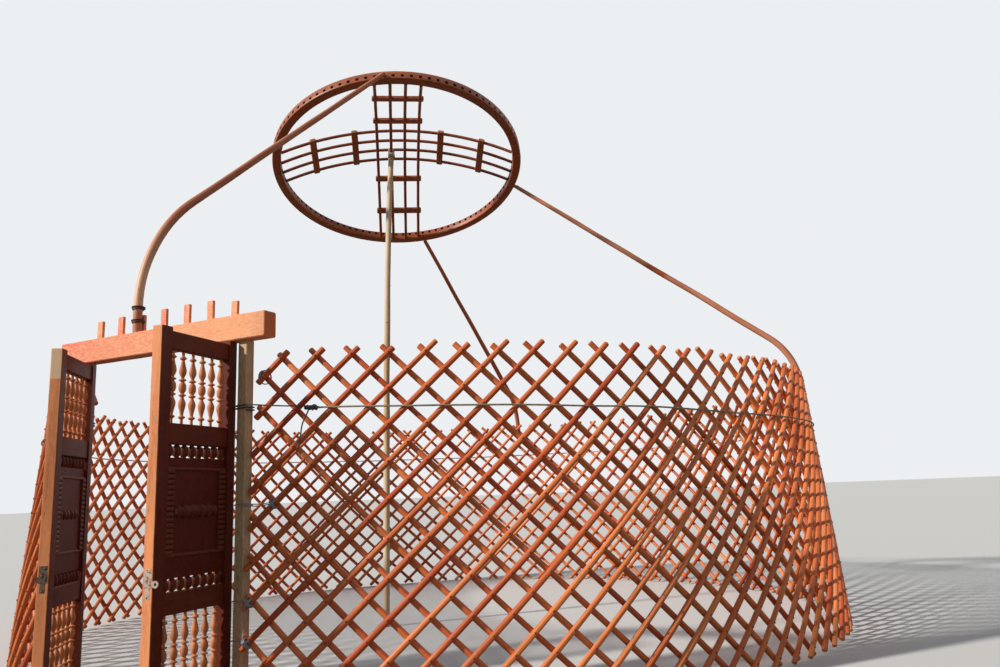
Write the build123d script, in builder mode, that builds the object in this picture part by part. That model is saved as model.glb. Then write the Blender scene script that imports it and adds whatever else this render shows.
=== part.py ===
from build123d import *
import os
from math import asin, atan, cos, degrees, radians, sin, sqrt, tan

# The bare frame of a felt tent while it is being put up: a round lattice wall with a
# two-leaved door, a crown ring held up on a prop pole, and the first three roof poles.
# The origin is on the ground in the doorway, midway between the two door posts.
# +Z is up, +Y goes in through the door and +X is to the right of someone who walks in.
# All sizes are in millimetres.

os.makedirs("parts", exist_ok=True)

# General fits, and the flat sides that a thin round bar is drawn with
seat_gap = 0.3
round_sides = 8

# Round wall
centre_depth = 2420
wall_radius_ground = 2550
wall_radius_top = 2420
wall_height = 1490
wall_segments = 15
facets_per_segment = 2
columns_per_facet = 3
crossing_rows = 19
tip_reach = 55
wall_end_reach = 35
bar_width = 27
bar_depth = 22
bar_notch = 2

# Door frame
door_half_opening = 480
post_width = 50
post_depth = 45
sill_height = 60
lintel_underside = 1515
lintel_height = 110
lintel_half_length = 650
lintel_lip = 10.5
peg_count = 7
peg_spacing = 145
peg_width = 37
peg_thickness = 14
peg_rise = 100
peg_socket_depth = 40

# Door leaves
leaf_thickness = 46
heel_gap = 6
meeting_gap = 7
pivot_proud = 10
pin_radius = 9
pin_length = 24
pin_play = 0.5
leaf_end_gap = 6
stile_width = 62
horn_height = 14
rail_thickness = 36
outer_rail_height = 70
inner_rail_height = 80
baluster_length = 285
baluster_count = 6
baluster_radius = 15
slot_height = 50
slot_bar_count = 8
slot_bar_size = 14
board_thickness = 20
field_low = 648
field_high = 968
ledge_height = 12
ledge_proud = 7
rib_strip_width = 42
rib_proud = 10
rib_valley = 5
rib_count = 16
spindle_length = 236
spindle_radius = 21
spindle_proud = 4
hasp_height = 108
hasp_width = 30
hasp_thickness = 2.5
hasp_middle = 555
strap_height = 22
strap_reach = 40
eye_radius = 14
eye_hole_radius = 5
right_leaf_opening = 98
left_leaf_opening = 54

# Crown ring
crown_offset_x = -134
crown_offset_y = -268
crown_height = 3185
crown_tilt = 18.8
crown_low_side = 127
crown_turn = 34.2
rim_outer_radius = 890
rim_width = 60
rim_height = 66
rim_chamfer = 13
socket_count = 96
socket_size = 20
socket_rise = 20
dome_rise = 215
dome_bar_radius = 11
dome_bar_spacing = 100
dome_bar_count = 4
tie_places = (310, 600)
tie_width = 45
tie_thickness = 28
tie_overhang = 12

# Roof poles: from the foot to the bend, and from the bend to a socket of the crown
pole_foot_radius = 21
pole_tip_radius = 15
pole_stand_off = 22
pole_foot_drop = 90
tenon_depth = 45
door_pole_foot_x = -147
door_pole_bend_height = 466
door_pole_bend_radius = 800
wall_pole_bend_height = 276
wall_pole_bend_radius = 440
right_pole_column = 25.5
back_pole_column = 48.5
door_pole_socket = 70
right_pole_socket = 3
back_pole_socket = 20

# Prop pole
prop_radius = 22
prop_bend_radius = 2500
prop_foot_x = -241
prop_foot_y = -339
prop_low_bend = (-218, -324, 1923)
prop_high_bend = (-203, -314, 2748)

# Belt rope round the wall
belt_radius = 4
belt_height = 1200


def save(piece, name):
    """Label a finished piece and write it to its own file."""
    piece.label = name
    export_step(piece, f"parts/{name}.step")


def placed(piece, location):
    """Return a copy of a piece moved to a location."""
    with BuildPart() as copy:
        with Locations(location):
            add(piece)
    return copy.part


# Lattice wall
# The wall is a leaning band of flat facets, from the right door post round to the left
# one. At each end the bars run on past their last crossing, up to the side of the post.
post_outer = door_half_opening + post_width
post_angle = degrees(atan((post_outer + seat_gap) / (centre_depth - post_depth / 2)))
end_angle = degrees(wall_end_reach / wall_radius_top)
door_half_angle = post_angle + end_angle
facet_count = wall_segments * facets_per_segment
facet_angle = (360 - 2 * door_half_angle) / facet_count
half_facet = radians(facet_angle / 2)
wall_lean = atan((wall_radius_ground - wall_radius_top) * cos(half_facet) / wall_height)
row_rise = (wall_height - 2 * tip_reach) / (crossing_rows - 1)
column_phase = 0.5
wall_axis = Location((0, centre_depth, 0))


def facet_plane(azimuth):
    """The plane between the two layers of bars of the facet at an azimuth, about the wall's axis."""
    reach = wall_radius_ground * cos(half_facet)
    turn = radians(azimuth)
    outward = (cos(turn) * cos(wall_lean), sin(turn) * cos(wall_lean), sin(wall_lean))
    along = (-sin(turn), cos(turn), 0)
    return Plane(origin=(reach * cos(turn), reach * sin(turn), 0), x_dir=along, z_dir=outward)


def half_chord(height):
    """Half the width of a facet at a height above the ground."""
    radius = wall_radius_ground + (wall_radius_top - wall_radius_ground) * height / wall_height
    return radius * sin(half_facet)


def wall_point(column, height, proud):
    """A point of the wall, by its column from the right post, its height and how far it stands out."""
    facet = int(column // columns_per_facet)
    share = 2 * (column - facet * columns_per_facet) / columns_per_facet - 1
    azimuth = door_half_angle - 90 + (facet + 0.5) * facet_angle
    plane = facet_plane(azimuth)
    local = (share * half_chord(height), height / cos(wall_lean), proud)
    point = plane.from_local_coords(local)
    return point + Vector(0, centre_depth, 0)


def bar_outline(start_column, side):
    """Corners of one bar that climbs across a facet, mirrored where side is -1."""
    low = tip_reach - 2 * row_rise * start_column
    high = low + 2 * row_rise * columns_per_facet
    left = Vector(-half_chord(low), low / cos(wall_lean))
    right = Vector(half_chord(high), high / cos(wall_lean))
    run = right - left
    half_cut = Vector(0, bar_width / 2 * run.length / run.X)
    overshoot = run * (2 * wall_end_reach / run.X)
    corners = (
        left - overshoot - half_cut,
        right + overshoot - half_cut,
        right + overshoot + half_cut,
        left - overshoot + half_cut,
    )
    return [(side * corner.X, corner.Y) for corner in corners]


wall_face = bar_depth - bar_notch / 2
rows_per_side = int((wall_height - tip_reach) / (2 * row_rise) + column_phase)
bar_starts = [column_phase + i for i in range(-rows_per_side, columns_per_facet)]
sector_reach = wall_radius_ground * 1.2


def lattice_facet(right_reach, left_reach):
    """One facet of crossing bars, and how many degrees it runs past each of its edges."""
    right_edge = half_facet + radians(right_reach)
    left_edge = half_facet + radians(left_reach)
    with BuildPart() as facet:
        for side in (1, -1):
            with BuildSketch(facet_plane(0).offset(-side * bar_notch / 2)):
                for start in bar_starts:
                    Polygon(*bar_outline(start, side), align=None)
            extrude(amount=side * bar_depth)
        with BuildSketch(Plane.XY):
            with BuildLine():
                Polyline(
                    (0, 0),
                    (sector_reach * cos(right_edge), -sector_reach * sin(right_edge)),
                    (sector_reach * cos(left_edge), sector_reach * sin(left_edge)),
                    close=True,
                )
            make_face()
        extrude(amount=wall_height, mode=Mode.INTERSECT)
    return facet.part


def lattice_segment(facets):
    """Facets side by side, as one piece of the wall whose right edge lies along +X."""
    with BuildPart() as segment:
        for i, facet in enumerate(facets):
            with Locations(Location((0, 0, 0), (0, 0, (i + 0.5) * facet_angle))):
                add(facet)
    return segment.part


plain_facet = lattice_facet(0, 0)
plain_segment = lattice_segment([plain_facet] * facets_per_segment)
right_end = lattice_segment(
    [lattice_facet(end_angle, 0)] + [plain_facet] * (facets_per_segment - 1)
)
left_end = lattice_segment(
    [plain_facet] * (facets_per_segment - 1) + [lattice_facet(0, end_angle)]
)
wall_pieces = [right_end] + [plain_segment] * (wall_segments - 2) + [left_end]

for i, piece in enumerate(wall_pieces):
    azimuth = door_half_angle - 90 + i * facets_per_segment * facet_angle
    wall_place = wall_axis * Location((0, 0, 0), (0, 0, azimuth))
    save(placed(piece, wall_place), f"wall_lattice_{i + 1:02d}")

# Door frame
pivot_x = door_half_opening - heel_gap - leaf_thickness / 2
pivot_y = -(post_depth / 2 + pivot_proud)
lintel_front = pivot_y - pin_radius - lintel_lip
lintel_back = post_depth / 2
lintel_depth = lintel_back - lintel_front
lintel_mid = (lintel_back + lintel_front) / 2
lintel_top = lintel_underside + lintel_height
pin_hole_radius = pin_radius + pin_play
pin_places = [(-pivot_x, pivot_y), (pivot_x, pivot_y)]
peg_places = [((i - (peg_count - 1) / 2) * peg_spacing, 0) for i in range(peg_count)]

with BuildPart() as sill:
    with BuildSketch():
        with Locations((0, lintel_mid)):
            Rectangle(2 * post_outer, lintel_depth)
    extrude(amount=sill_height)
    with BuildSketch(Plane.XY.offset(sill_height)):
        with Locations(*pin_places):
            Circle(pin_hole_radius)
    extrude(amount=-pin_length - seat_gap, mode=Mode.SUBTRACT)
save(sill.part, "door_sill")

with BuildPart() as lintel:
    with BuildSketch(Plane.XY.offset(lintel_underside)):
        with Locations((0, lintel_mid)):
            Rectangle(2 * lintel_half_length, lintel_depth)
    extrude(amount=lintel_height)
    with BuildSketch(Plane.XY.offset(lintel_underside)):
        with Locations(*pin_places):
            Circle(pin_hole_radius)
    extrude(amount=pin_length + seat_gap, mode=Mode.SUBTRACT)
    with BuildSketch(Plane.XY.offset(lintel_top)):
        with Locations(*peg_places):
            Rectangle(peg_width + 2 * seat_gap, peg_thickness + 2 * seat_gap)
    extrude(amount=-peg_socket_depth - seat_gap, mode=Mode.SUBTRACT)
save(lintel.part, "lintel")

with BuildPart() as pegs:
    with BuildSketch(Plane.XY.offset(lintel_top - peg_socket_depth)):
        with Locations(*peg_places):
            Rectangle(peg_width, peg_thickness)
    extrude(amount=peg_socket_depth + peg_rise)
save(pegs.part, "lintel_pegs")

for name, side in (("left_post", -1), ("right_post", 1)):
    with BuildPart() as post:
        with BuildSketch(Plane.XY.offset(sill_height)):
            with Locations((side * (door_half_opening + post_width / 2), 0)):
                Rectangle(post_width, post_depth)
        extrude(amount=lintel_underside - sill_height)
    save(post.part, name)

# Door leaves
# A leaf is drawn with its pivot on the Z axis and its free edge towards +X, the way the
# left leaf stands when it is shut.
leaf_bottom = sill_height + leaf_end_gap
leaf_top = lintel_underside - leaf_end_gap
leaf_height = leaf_top - leaf_bottom
free_edge = pivot_x - meeting_gap / 2
leaf_face = leaf_thickness / 2
stile_inner = stile_width - leaf_face
free_stile_inner = free_edge - stile_width
panel_width = free_stile_inner - stile_inner
panel_mid = (free_stile_inner + stile_inner) / 2
leaf_middle = (leaf_top + leaf_bottom) / 2

top_rail_low = leaf_top - horn_height - outer_rail_height
upper_rail_high = top_rail_low - baluster_length
upper_rail_low = upper_rail_high - inner_rail_height
board_high = upper_rail_low - slot_height
board_height = 2 * (board_high - leaf_middle)


def hasp_plate(outer, play):
    """The part of a hasp that is let into the free edge, or its pocket where there is a play.

    A leaf's outer face looks along +Y where outer is 1, and along -Y where it is -1.
    """
    depth = hasp_thickness + play
    wrap = leaf_face + seat_gap + hasp_thickness
    outwards = Align.MIN if outer > 0 else Align.MAX
    with BuildPart() as plate:
        with Locations((free_edge, 0, hasp_middle)):
            Box(
                depth,
                hasp_width + 2 * play,
                hasp_height + 2 * play,
                align=(Align.MAX, Align.CENTER, Align.CENTER),
            )
            Box(depth, wrap, strap_height + 2 * play, align=(Align.MAX, outwards, Align.CENTER))
    return plate.part


def leaf_hasp(outer):
    """The iron hasp: its plate, and a strap round the outer corner that ends in an eye."""
    outwards = Align.MIN if outer > 0 else Align.MAX
    strap_inner = leaf_face + seat_gap
    eye = (free_edge - strap_reach, outer * (strap_inner + hasp_thickness / 2), hasp_middle)
    with BuildPart() as hasp:
        add(hasp_plate(outer, 0))
        with Locations((free_edge, outer * strap_inner, hasp_middle)):
            Box(
                strap_reach,
                hasp_thickness,
                strap_height,
                align=(Align.MAX, outwards, Align.CENTER),
            )
        with Locations(Location(eye, (90, 0, 0))):
            Cylinder(eye_radius, hasp_thickness)
            Cylinder(eye_hole_radius, 2 * hasp_thickness, mode=Mode.SUBTRACT)
    return hasp.part


def leaf_stiles(outer):
    """The two stiles with the pivot pins, and the pocket of the hasp in the free edge."""
    with BuildPart() as stiles:
        with BuildSketch(Plane.XY.offset(leaf_bottom)):
            Circle(leaf_face)
            with Locations((stile_inner / 2, 0)):
                Rectangle(stile_inner, leaf_thickness)
            with Locations((free_edge - stile_width / 2, 0)):
                Rectangle(stile_width, leaf_thickness)
        extrude(amount=leaf_height)
        with BuildSketch(Plane.XY.offset(leaf_bottom - pin_length)):
            Circle(pin_radius)
        extrude(amount=leaf_height + 2 * pin_length)
        add(hasp_plate(outer, seat_gap), mode=Mode.SUBTRACT)
    return stiles.part


with BuildPart() as rails:
    for low, height in (
        (top_rail_low, outer_rail_height),
        (upper_rail_low, inner_rail_height),
    ):
        for bottom in (low, 2 * leaf_middle - low - height):
            with BuildSketch(Plane.XY.offset(bottom)):
                with Locations((panel_mid, 0)):
                    Rectangle(panel_width, rail_thickness)
            extrude(amount=height)

half_baluster = (
    (0.55, 0),
    (0.55, 0.05),
    (0.85, 0.08),
    (0.45, 0.12),
    (1.0, 0.22),
    (0.5, 0.42),
    (0.8, 0.46),
    (0.6, 0.5),
)
half_spindle = (
    (0.55, 0),
    (0.8, 0.06),
    (0.55, 0.12),
    (1.0, 0.2),
    (0.7, 0.28),
    (1.0, 0.37),
    (0.7, 0.45),
    (0.9, 0.5),
)


def turned_piece(half_outline, radius, length):
    """A turned piece along +Z, from half its outline in shares of its radius and length.

    It is what the outline, pushed through from each of its flat sides, has in common.
    """
    other_half = [(width, 1 - place) for width, place in reversed(half_outline[:-1])]
    outline = (*half_outline, *other_half)
    right_side = [(width * radius, place * length) for width, place in outline]
    left_side = [(-x, z) for x, z in reversed(right_side)]
    with BuildPart() as piece:
        for i in range(round_sides // 2):
            turn = i * 360 / round_sides
            with BuildSketch(Plane.XZ.rotated((0, 0, turn))):
                with BuildLine():
                    Polyline(*right_side, *left_side, close=True)
                make_face()
            cut = Mode.INTERSECT if i else Mode.ADD
            extrude(amount=2 * radius, both=True, mode=cut)
    return piece.part


baluster = turned_piece(half_baluster, baluster_radius, baluster_length)
baluster_spacing = panel_width / baluster_count
slot_bar_spacing = panel_width / slot_bar_count
with BuildPart() as balusters:
    for bottom in (upper_rail_high, 2 * leaf_middle - upper_rail_high - baluster_length):
        with Locations((panel_mid, 0, bottom)):
            with GridLocations(baluster_spacing, 1, baluster_count, 1):
                add(baluster)
    for bottom in (board_high, 2 * leaf_middle - upper_rail_low):
        with BuildSketch(Plane.XY.offset(bottom)):
            with Locations((panel_mid, 0)):
                with GridLocations(slot_bar_spacing, 1, slot_bar_count, 1):
                    Rectangle(slot_bar_size, slot_bar_size)
        extrude(amount=slot_height)

rib_pitch = (field_high - field_low) / rib_count
rib_base = board_thickness / 2
rib_outline = [(0, field_low)]
for i in range(rib_count):
    rib_low = field_low + i * rib_pitch
    rib_outline += [
        (rib_base + rib_valley, rib_low),
        (rib_base + rib_proud, rib_low + rib_pitch / 3),
        (rib_base + rib_proud, rib_low + rib_pitch * 2 / 3),
    ]
rib_outline += [(rib_base + rib_valley, field_high), (0, field_high)]
rib_strip_left = panel_mid - panel_width / 2
rib_strip_lefts = (rib_strip_left, rib_strip_left + panel_width - rib_strip_width)


def leaf_board(outer):
    """The middle panel: a ribbed strip at both sides of its field, and a spindle outside."""
    spindle = turned_piece(half_spindle, spindle_radius, spindle_length)
    spindle_place = (
        panel_mid - spindle_length / 2,
        outer * (rib_base + spindle_proud),
        (field_low + field_high) / 2,
    )
    with BuildPart() as board:
        with Locations((panel_mid, 0, leaf_middle)):
            Box(panel_width, board_thickness, board_height)
        for face in (1, -1):
            for left in rib_strip_lefts:
                with BuildSketch(Plane.YZ.offset(left)):
                    with BuildLine():
                        Polyline(*[(face * y, z) for y, z in rib_outline], close=True)
                    make_face()
                extrude(amount=rib_strip_width)
        with Locations((panel_mid, 0, field_low), (panel_mid, 0, field_high)):
            Box(panel_width, board_thickness + 2 * ledge_proud, ledge_height)
        with Locations(Location(spindle_place, (0, 90, 0))):
            add(spindle)
    return board.part


leaf_directions = {
    "left": (-1, Location((-pivot_x, pivot_y, 0), (0, 0, -left_leaf_opening))),
    "right": (1, Location((pivot_x, pivot_y, 0), (0, 0, 180 + right_leaf_opening))),
}
for leaf, (outer, place) in leaf_directions.items():
    save(placed(leaf_stiles(outer), place), f"{leaf}_leaf_stiles")
    save(placed(rails.part, place), f"{leaf}_leaf_rails")
    save(placed(balusters.part, place), f"{leaf}_leaf_balusters")
    save(placed(leaf_board(outer), place), f"{leaf}_leaf_board")
    save(placed(leaf_hasp(outer), place), f"{leaf}_leaf_hasp")

# Crown ring
# It is drawn level about the Z axis, with its bars across along X, and then tilted.
low_side = radians(crown_low_side)
tilt = radians(crown_tilt)
crown_normal = (sin(tilt) * cos(low_side), sin(tilt) * sin(low_side), cos(tilt))
bar_turn = radians(crown_turn)
climb = -(crown_normal[0] * cos(bar_turn) + crown_normal[1] * sin(bar_turn)) / crown_normal[2]
crown_plane = Plane(
    origin=(crown_offset_x, centre_depth + crown_offset_y, crown_height),
    x_dir=(cos(bar_turn), sin(bar_turn), climb),
    z_dir=crown_normal,
)
rim_inner_radius = rim_outer_radius - rim_width
rim_mid_radius = rim_outer_radius - rim_width / 2
socket_step = 360 / socket_count


def socket_angle(number):
    """Direction of a socket about the crown's axis, in degrees."""
    return (number + 0.5) * socket_step


def socket_plane(number):
    """The plane across a socket at the rim's outer face, which looks out along the socket."""
    turn = radians(socket_angle(number))
    rise = radians(socket_rise)
    outward = (cos(turn) * cos(rise), sin(turn) * cos(rise), -sin(rise))
    drop = rim_width / 2 * tan(rise)
    mouth = (rim_outer_radius * cos(turn), rim_outer_radius * sin(turn), -drop)
    return Plane(origin=mouth, x_dir=(-sin(turn), cos(turn), 0), z_dir=outward)


sockets_per_half = socket_count // 2
for half, name in enumerate(("crown_rim_back", "crown_rim_front")):
    with BuildPart() as rim_half:
        with BuildSketch(Plane.XZ) as rim_section:
            with Locations((rim_mid_radius, 0)):
                Rectangle(rim_width, rim_height)
            chamfer(rim_section.vertices(), rim_chamfer)
        revolve(axis=Axis.Z, revolution_arc=180)
        with Locations(*[socket_plane(i) for i in range(sockets_per_half)]):
            Box(socket_size, socket_size, 4 * rim_width, mode=Mode.SUBTRACT)
    half_turn = Location((0, 0, 0), (0, 0, 180 * half))
    save(placed(rim_half.part, crown_plane.location * half_turn), name)

dome_radius = (rim_inner_radius**2 + dome_rise**2) / (2 * dome_rise)


def dome_drop(distance):
    """How far the dome of bent bars has fallen at a distance from its middle."""
    return dome_radius - sqrt(dome_radius**2 - distance**2)


outer_bar = dome_bar_spacing * (dome_bar_count - 1) / 2
inner_bar = dome_bar_spacing / 2
layer_drop = 2 * dome_bar_radius + seat_gap + dome_drop(outer_bar) - dome_drop(inner_bar)
bar_reach = rim_inner_radius + rim_width / 2
tie_length = 2 * outer_bar + 2 * dome_bar_radius + 2 * tie_overhang


def bent_bars(rise):
    """A set of bent bars along X with the ties that they pass through, and the rise of its top."""
    end_height = rise - dome_drop(bar_reach)
    with BuildPart() as bars:
        for i in range(dome_bar_count):
            offset_y = (i - (dome_bar_count - 1) / 2) * dome_bar_spacing
            with BuildLine() as bow:
                ThreePointArc(
                    (-bar_reach, offset_y, end_height),
                    (0, offset_y, rise),
                    (bar_reach, offset_y, end_height),
                )
            with BuildSketch(Plane(origin=bow.line @ 0, z_dir=bow.line % 0)):
                RegularPolygon(
                    dome_bar_radius,
                    round_sides,
                    major_radius=False,
                    rotation=180 / round_sides,
                )
            sweep(path=bow.line)
        with BuildSketch(Plane.XY.offset(-rim_height)):
            Circle(rim_inner_radius - seat_gap)
        extrude(amount=rise + 2 * rim_height, mode=Mode.INTERSECT)
        for place in tie_places:
            for side in (-1, 1):
                slope = -degrees(side * atan(place / (dome_radius - dome_drop(place))))
                height = rise - dome_drop(place)
                with Locations(Location((side * place, 0, height), (0, -slope, 0))):
                    Box(tie_width, tie_length, tie_thickness)
    return bars.part


crown_place = crown_plane.location
quarter_turn = Location((0, 0, 0), (0, 0, 90))
front_rise = dome_rise - layer_drop
save(placed(bent_bars(dome_rise), crown_place), "crown_bars_across")
save(placed(bent_bars(front_rise), crown_place * quarter_turn), "crown_bars_front_to_back")

# Roof poles


def socket_mouth(number, stand_off):
    """A point on the axis of a socket, at a distance outside the rim, in the tent's frame."""
    plane = socket_plane(number)
    return crown_plane.from_local_coords(plane.origin + plane.z_dir * stand_off)


def roof_pole(foot, lean, bend_height, bend_radius, socket):
    """A round pole with a bent foot, a shaft that tapers and a square tip in its socket."""
    tip = socket_mouth(socket, pole_stand_off)
    plan = Vector(tip.X - foot.X, tip.Y - foot.Y, 0).normalized()
    bend = foot + plan * bend_height * tan(lean) + Vector(0, 0, bend_height)
    lower = (bend - foot).normalized()
    upper = (tip - bend).normalized()
    tangent_run = bend_radius * tan(radians(lower.get_angle(upper) / 2))
    buried = foot - lower * pole_foot_radius
    bend_start = bend - lower * tangent_run
    bend_end = bend + upper * tangent_run
    inner_end = socket_mouth(socket, -tenon_depth)
    socket_axis = (tip - inner_end).normalized()
    across = Vector(*crown_normal).cross(socket_axis)
    sideways = Vector(plan.Y, -plan.X, 0)
    with BuildPart() as pole:
        with BuildLine() as route:
            Line(buried, bend_start)
            TangentArc(bend_start, bend_end, tangent=lower)
        with BuildSketch(Plane(origin=buried, x_dir=sideways, z_dir=lower)):
            RegularPolygon(pole_foot_radius, round_sides)
        sweep(path=route.wire())
        split(bisect_by=Plane.XY.offset(foot.Z), keep=Keep.TOP)
        with BuildSketch(Plane(origin=bend_end, x_dir=sideways, z_dir=upper)):
            RegularPolygon(pole_foot_radius, round_sides)
        with BuildSketch(Plane(origin=tip, x_dir=sideways, z_dir=upper)):
            RegularPolygon(pole_tip_radius, round_sides)
        loft(ruled=True)
        with BuildSketch(Plane(origin=inner_end, x_dir=across, z_dir=socket_axis)):
            Rectangle(socket_size - 2 * seat_gap, socket_size - 2 * seat_gap)
        extrude(amount=tenon_depth + pole_stand_off)
    return pole.part


door_foot_y = -peg_thickness / 2 - seat_gap - pole_foot_radius
door_pole_foot = Vector(door_pole_foot_x, door_foot_y, lintel_top + seat_gap)
door_pole = roof_pole(
    door_pole_foot, 0, door_pole_bend_height, door_pole_bend_radius, door_pole_socket
)
save(door_pole, "roof_pole_door")
wall_pole_proud = wall_face + seat_gap + pole_foot_radius
for name, column, socket in (
    ("roof_pole_right", right_pole_column, right_pole_socket),
    ("roof_pole_back", back_pole_column, back_pole_socket),
):
    foot = wall_point(column, wall_height - pole_foot_drop, wall_pole_proud)
    pole = roof_pole(foot, wall_lean, wall_pole_bend_height, wall_pole_bend_radius, socket)
    save(pole, name)

# Prop pole
# Its top is cut along the crown and stands under the crossing of two bent bars.
prop_top_height = front_rise - dome_drop(inner_bar + prop_radius) - dome_bar_radius - seat_gap
prop_top = crown_plane.from_local_coords((-inner_bar, inner_bar, prop_top_height))
prop_foot = Vector(prop_foot_x, prop_foot_y + centre_depth, 0)
low_bend = Vector(*prop_low_bend) + Vector(0, centre_depth, 0)
high_bend = Vector(*prop_high_bend) + Vector(0, centre_depth, 0)
foot_run = (low_bend - prop_foot).normalized()
top_run = (prop_top - high_bend).normalized()
prop_trim = 2 * prop_radius

with BuildPart() as prop:
    with BuildLine() as prop_route:
        FilletPolyline(
            prop_foot - foot_run * prop_trim,
            low_bend,
            high_bend,
            prop_top + top_run * prop_trim,
            radius=prop_bend_radius,
        )
    with BuildSketch(Plane(origin=prop_route.wire() @ 0, z_dir=foot_run)):
        Circle(prop_radius)
    sweep(path=prop_route.wire())
    split(bisect_by=Plane.XY, keep=Keep.TOP)
    split(bisect_by=Plane(origin=prop_top, z_dir=crown_normal), keep=Keep.BOTTOM)
save(prop.part, "prop_pole")

# Belt rope
# It is pulled tight round the folds of the wall, from one door post to the other.
belt_share = belt_height / wall_height
wall_radius_belt = wall_radius_ground + (wall_radius_top - wall_radius_ground) * belt_share
fold_radius = wall_radius_belt + wall_face / cos(wall_lean) / cos(half_facet)
end_flare = wall_end_reach * sin(half_facet)
belt_turn_radius = fold_radius + end_flare + (belt_radius + seat_gap) / cos(wall_lean)
belt_start = degrees(asin((post_outer + seat_gap) / (belt_turn_radius - belt_radius)))

with BuildPart() as belt:
    with BuildLine(Plane.XY.offset(belt_height)) as belt_route:
        CenterArc((0, centre_depth), belt_turn_radius, belt_start - 90, 360 - 2 * belt_start)
    with BuildSketch(Plane(origin=belt_route.line @ 0, z_dir=belt_route.line % 0)):
        RegularPolygon(belt_radius, round_sides)
    sweep(path=belt_route.line)
save(belt.part, "belt_rope")
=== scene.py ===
"""The looks of a yurt frame that is being put up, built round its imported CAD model.

Sizes are in metres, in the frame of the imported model: the origin is on the ground in the
doorway, +Z is up, +Y goes in through the door and +X is to the right of someone who walks
in. The sizes of the wall, the crown and the poles repeat the driving ones of the model.
"""

from __future__ import annotations

import logging
import math
import random
from collections.abc import Callable, Iterable, Sequence
from dataclasses import dataclass, field
from enum import Enum

import bpy
from mathutils import Matrix, Vector, noise

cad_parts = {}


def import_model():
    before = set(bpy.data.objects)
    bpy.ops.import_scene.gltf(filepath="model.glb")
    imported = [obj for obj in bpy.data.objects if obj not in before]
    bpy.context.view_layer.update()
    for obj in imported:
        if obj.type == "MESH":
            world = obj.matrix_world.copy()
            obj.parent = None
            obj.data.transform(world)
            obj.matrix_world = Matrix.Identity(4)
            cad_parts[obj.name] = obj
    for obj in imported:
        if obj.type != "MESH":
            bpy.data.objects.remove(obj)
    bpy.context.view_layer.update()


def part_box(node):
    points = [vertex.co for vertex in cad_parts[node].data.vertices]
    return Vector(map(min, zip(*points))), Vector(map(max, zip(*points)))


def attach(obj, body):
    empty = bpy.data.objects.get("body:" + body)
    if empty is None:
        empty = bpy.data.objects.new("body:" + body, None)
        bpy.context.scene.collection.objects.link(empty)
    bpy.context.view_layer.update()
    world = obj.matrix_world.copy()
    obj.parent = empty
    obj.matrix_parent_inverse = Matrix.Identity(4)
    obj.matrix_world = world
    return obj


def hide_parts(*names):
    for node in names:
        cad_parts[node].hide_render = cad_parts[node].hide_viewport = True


LOG = logging.getLogger("yurt")
X_AXIS = Vector((1, 0, 0))
Y_AXIS = Vector((0, 1, 0))
Z_AXIS = Vector((0, 0, 1))
HAIR_GAP = 0.0003
COAT_ROUGHNESS = 0.35

Colour = tuple[float, float, float]
Tone = float | Callable[[float], float]


class Body(Enum):
    """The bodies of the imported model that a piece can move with."""

    FRAME = "frame"
    LEFT_LEAF = "left_leaf"
    RIGHT_LEAF = "right_leaf"


def srgb(red: int, green: int, blue: int) -> Colour:
    """Turn a colour as a screen shows it into the linear one that a shader takes."""
    shares = (value / 255 for value in (red, green, blue))
    return tuple(s / 12.92 if s <= 0.04045 else ((s + 0.055) / 1.055) ** 2.4 for s in shares)


def turned_about_z(degrees: float, place: Vector) -> Matrix:
    """A matrix that turns a piece about +Z and then moves it to a place."""
    return Matrix.Translation(place) @ Matrix.Rotation(math.radians(degrees), 4, "Z")


def level_at(angle: float) -> Vector:
    """The level direction at an angle from +X, in radians."""
    return Vector((math.cos(angle), math.sin(angle), 0))


def ripple(x: float, y: float = 0.0, z: float = 0.0) -> float:
    """Smooth noise about 0 at a place."""
    return noise.noise(Vector((x, y, z)))


def ramp(value: float, low: float, high: float) -> float:
    """How far a value is on the way from low to high, from 0 to 1."""
    return min(1.0, max(0.0, (value - low) / (high - low)))


def stray(chance: random.Random, reach: float) -> Vector:
    """A random step of up to a reach along each axis."""
    return Vector([chance.uniform(-reach, reach) for _ in range(3)])


def tone_at(tone: Tone, travelled: float) -> float:
    """The tone at a distance along a piece."""
    return tone(travelled) if callable(tone) else tone


def linked(name: str, data: bpy.types.ID) -> bpy.types.Object:
    """Add an object with its data to the scene."""
    made = bpy.data.objects.new(name, data)
    bpy.context.scene.collection.objects.link(made)
    return made


# Shader expressions


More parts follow.
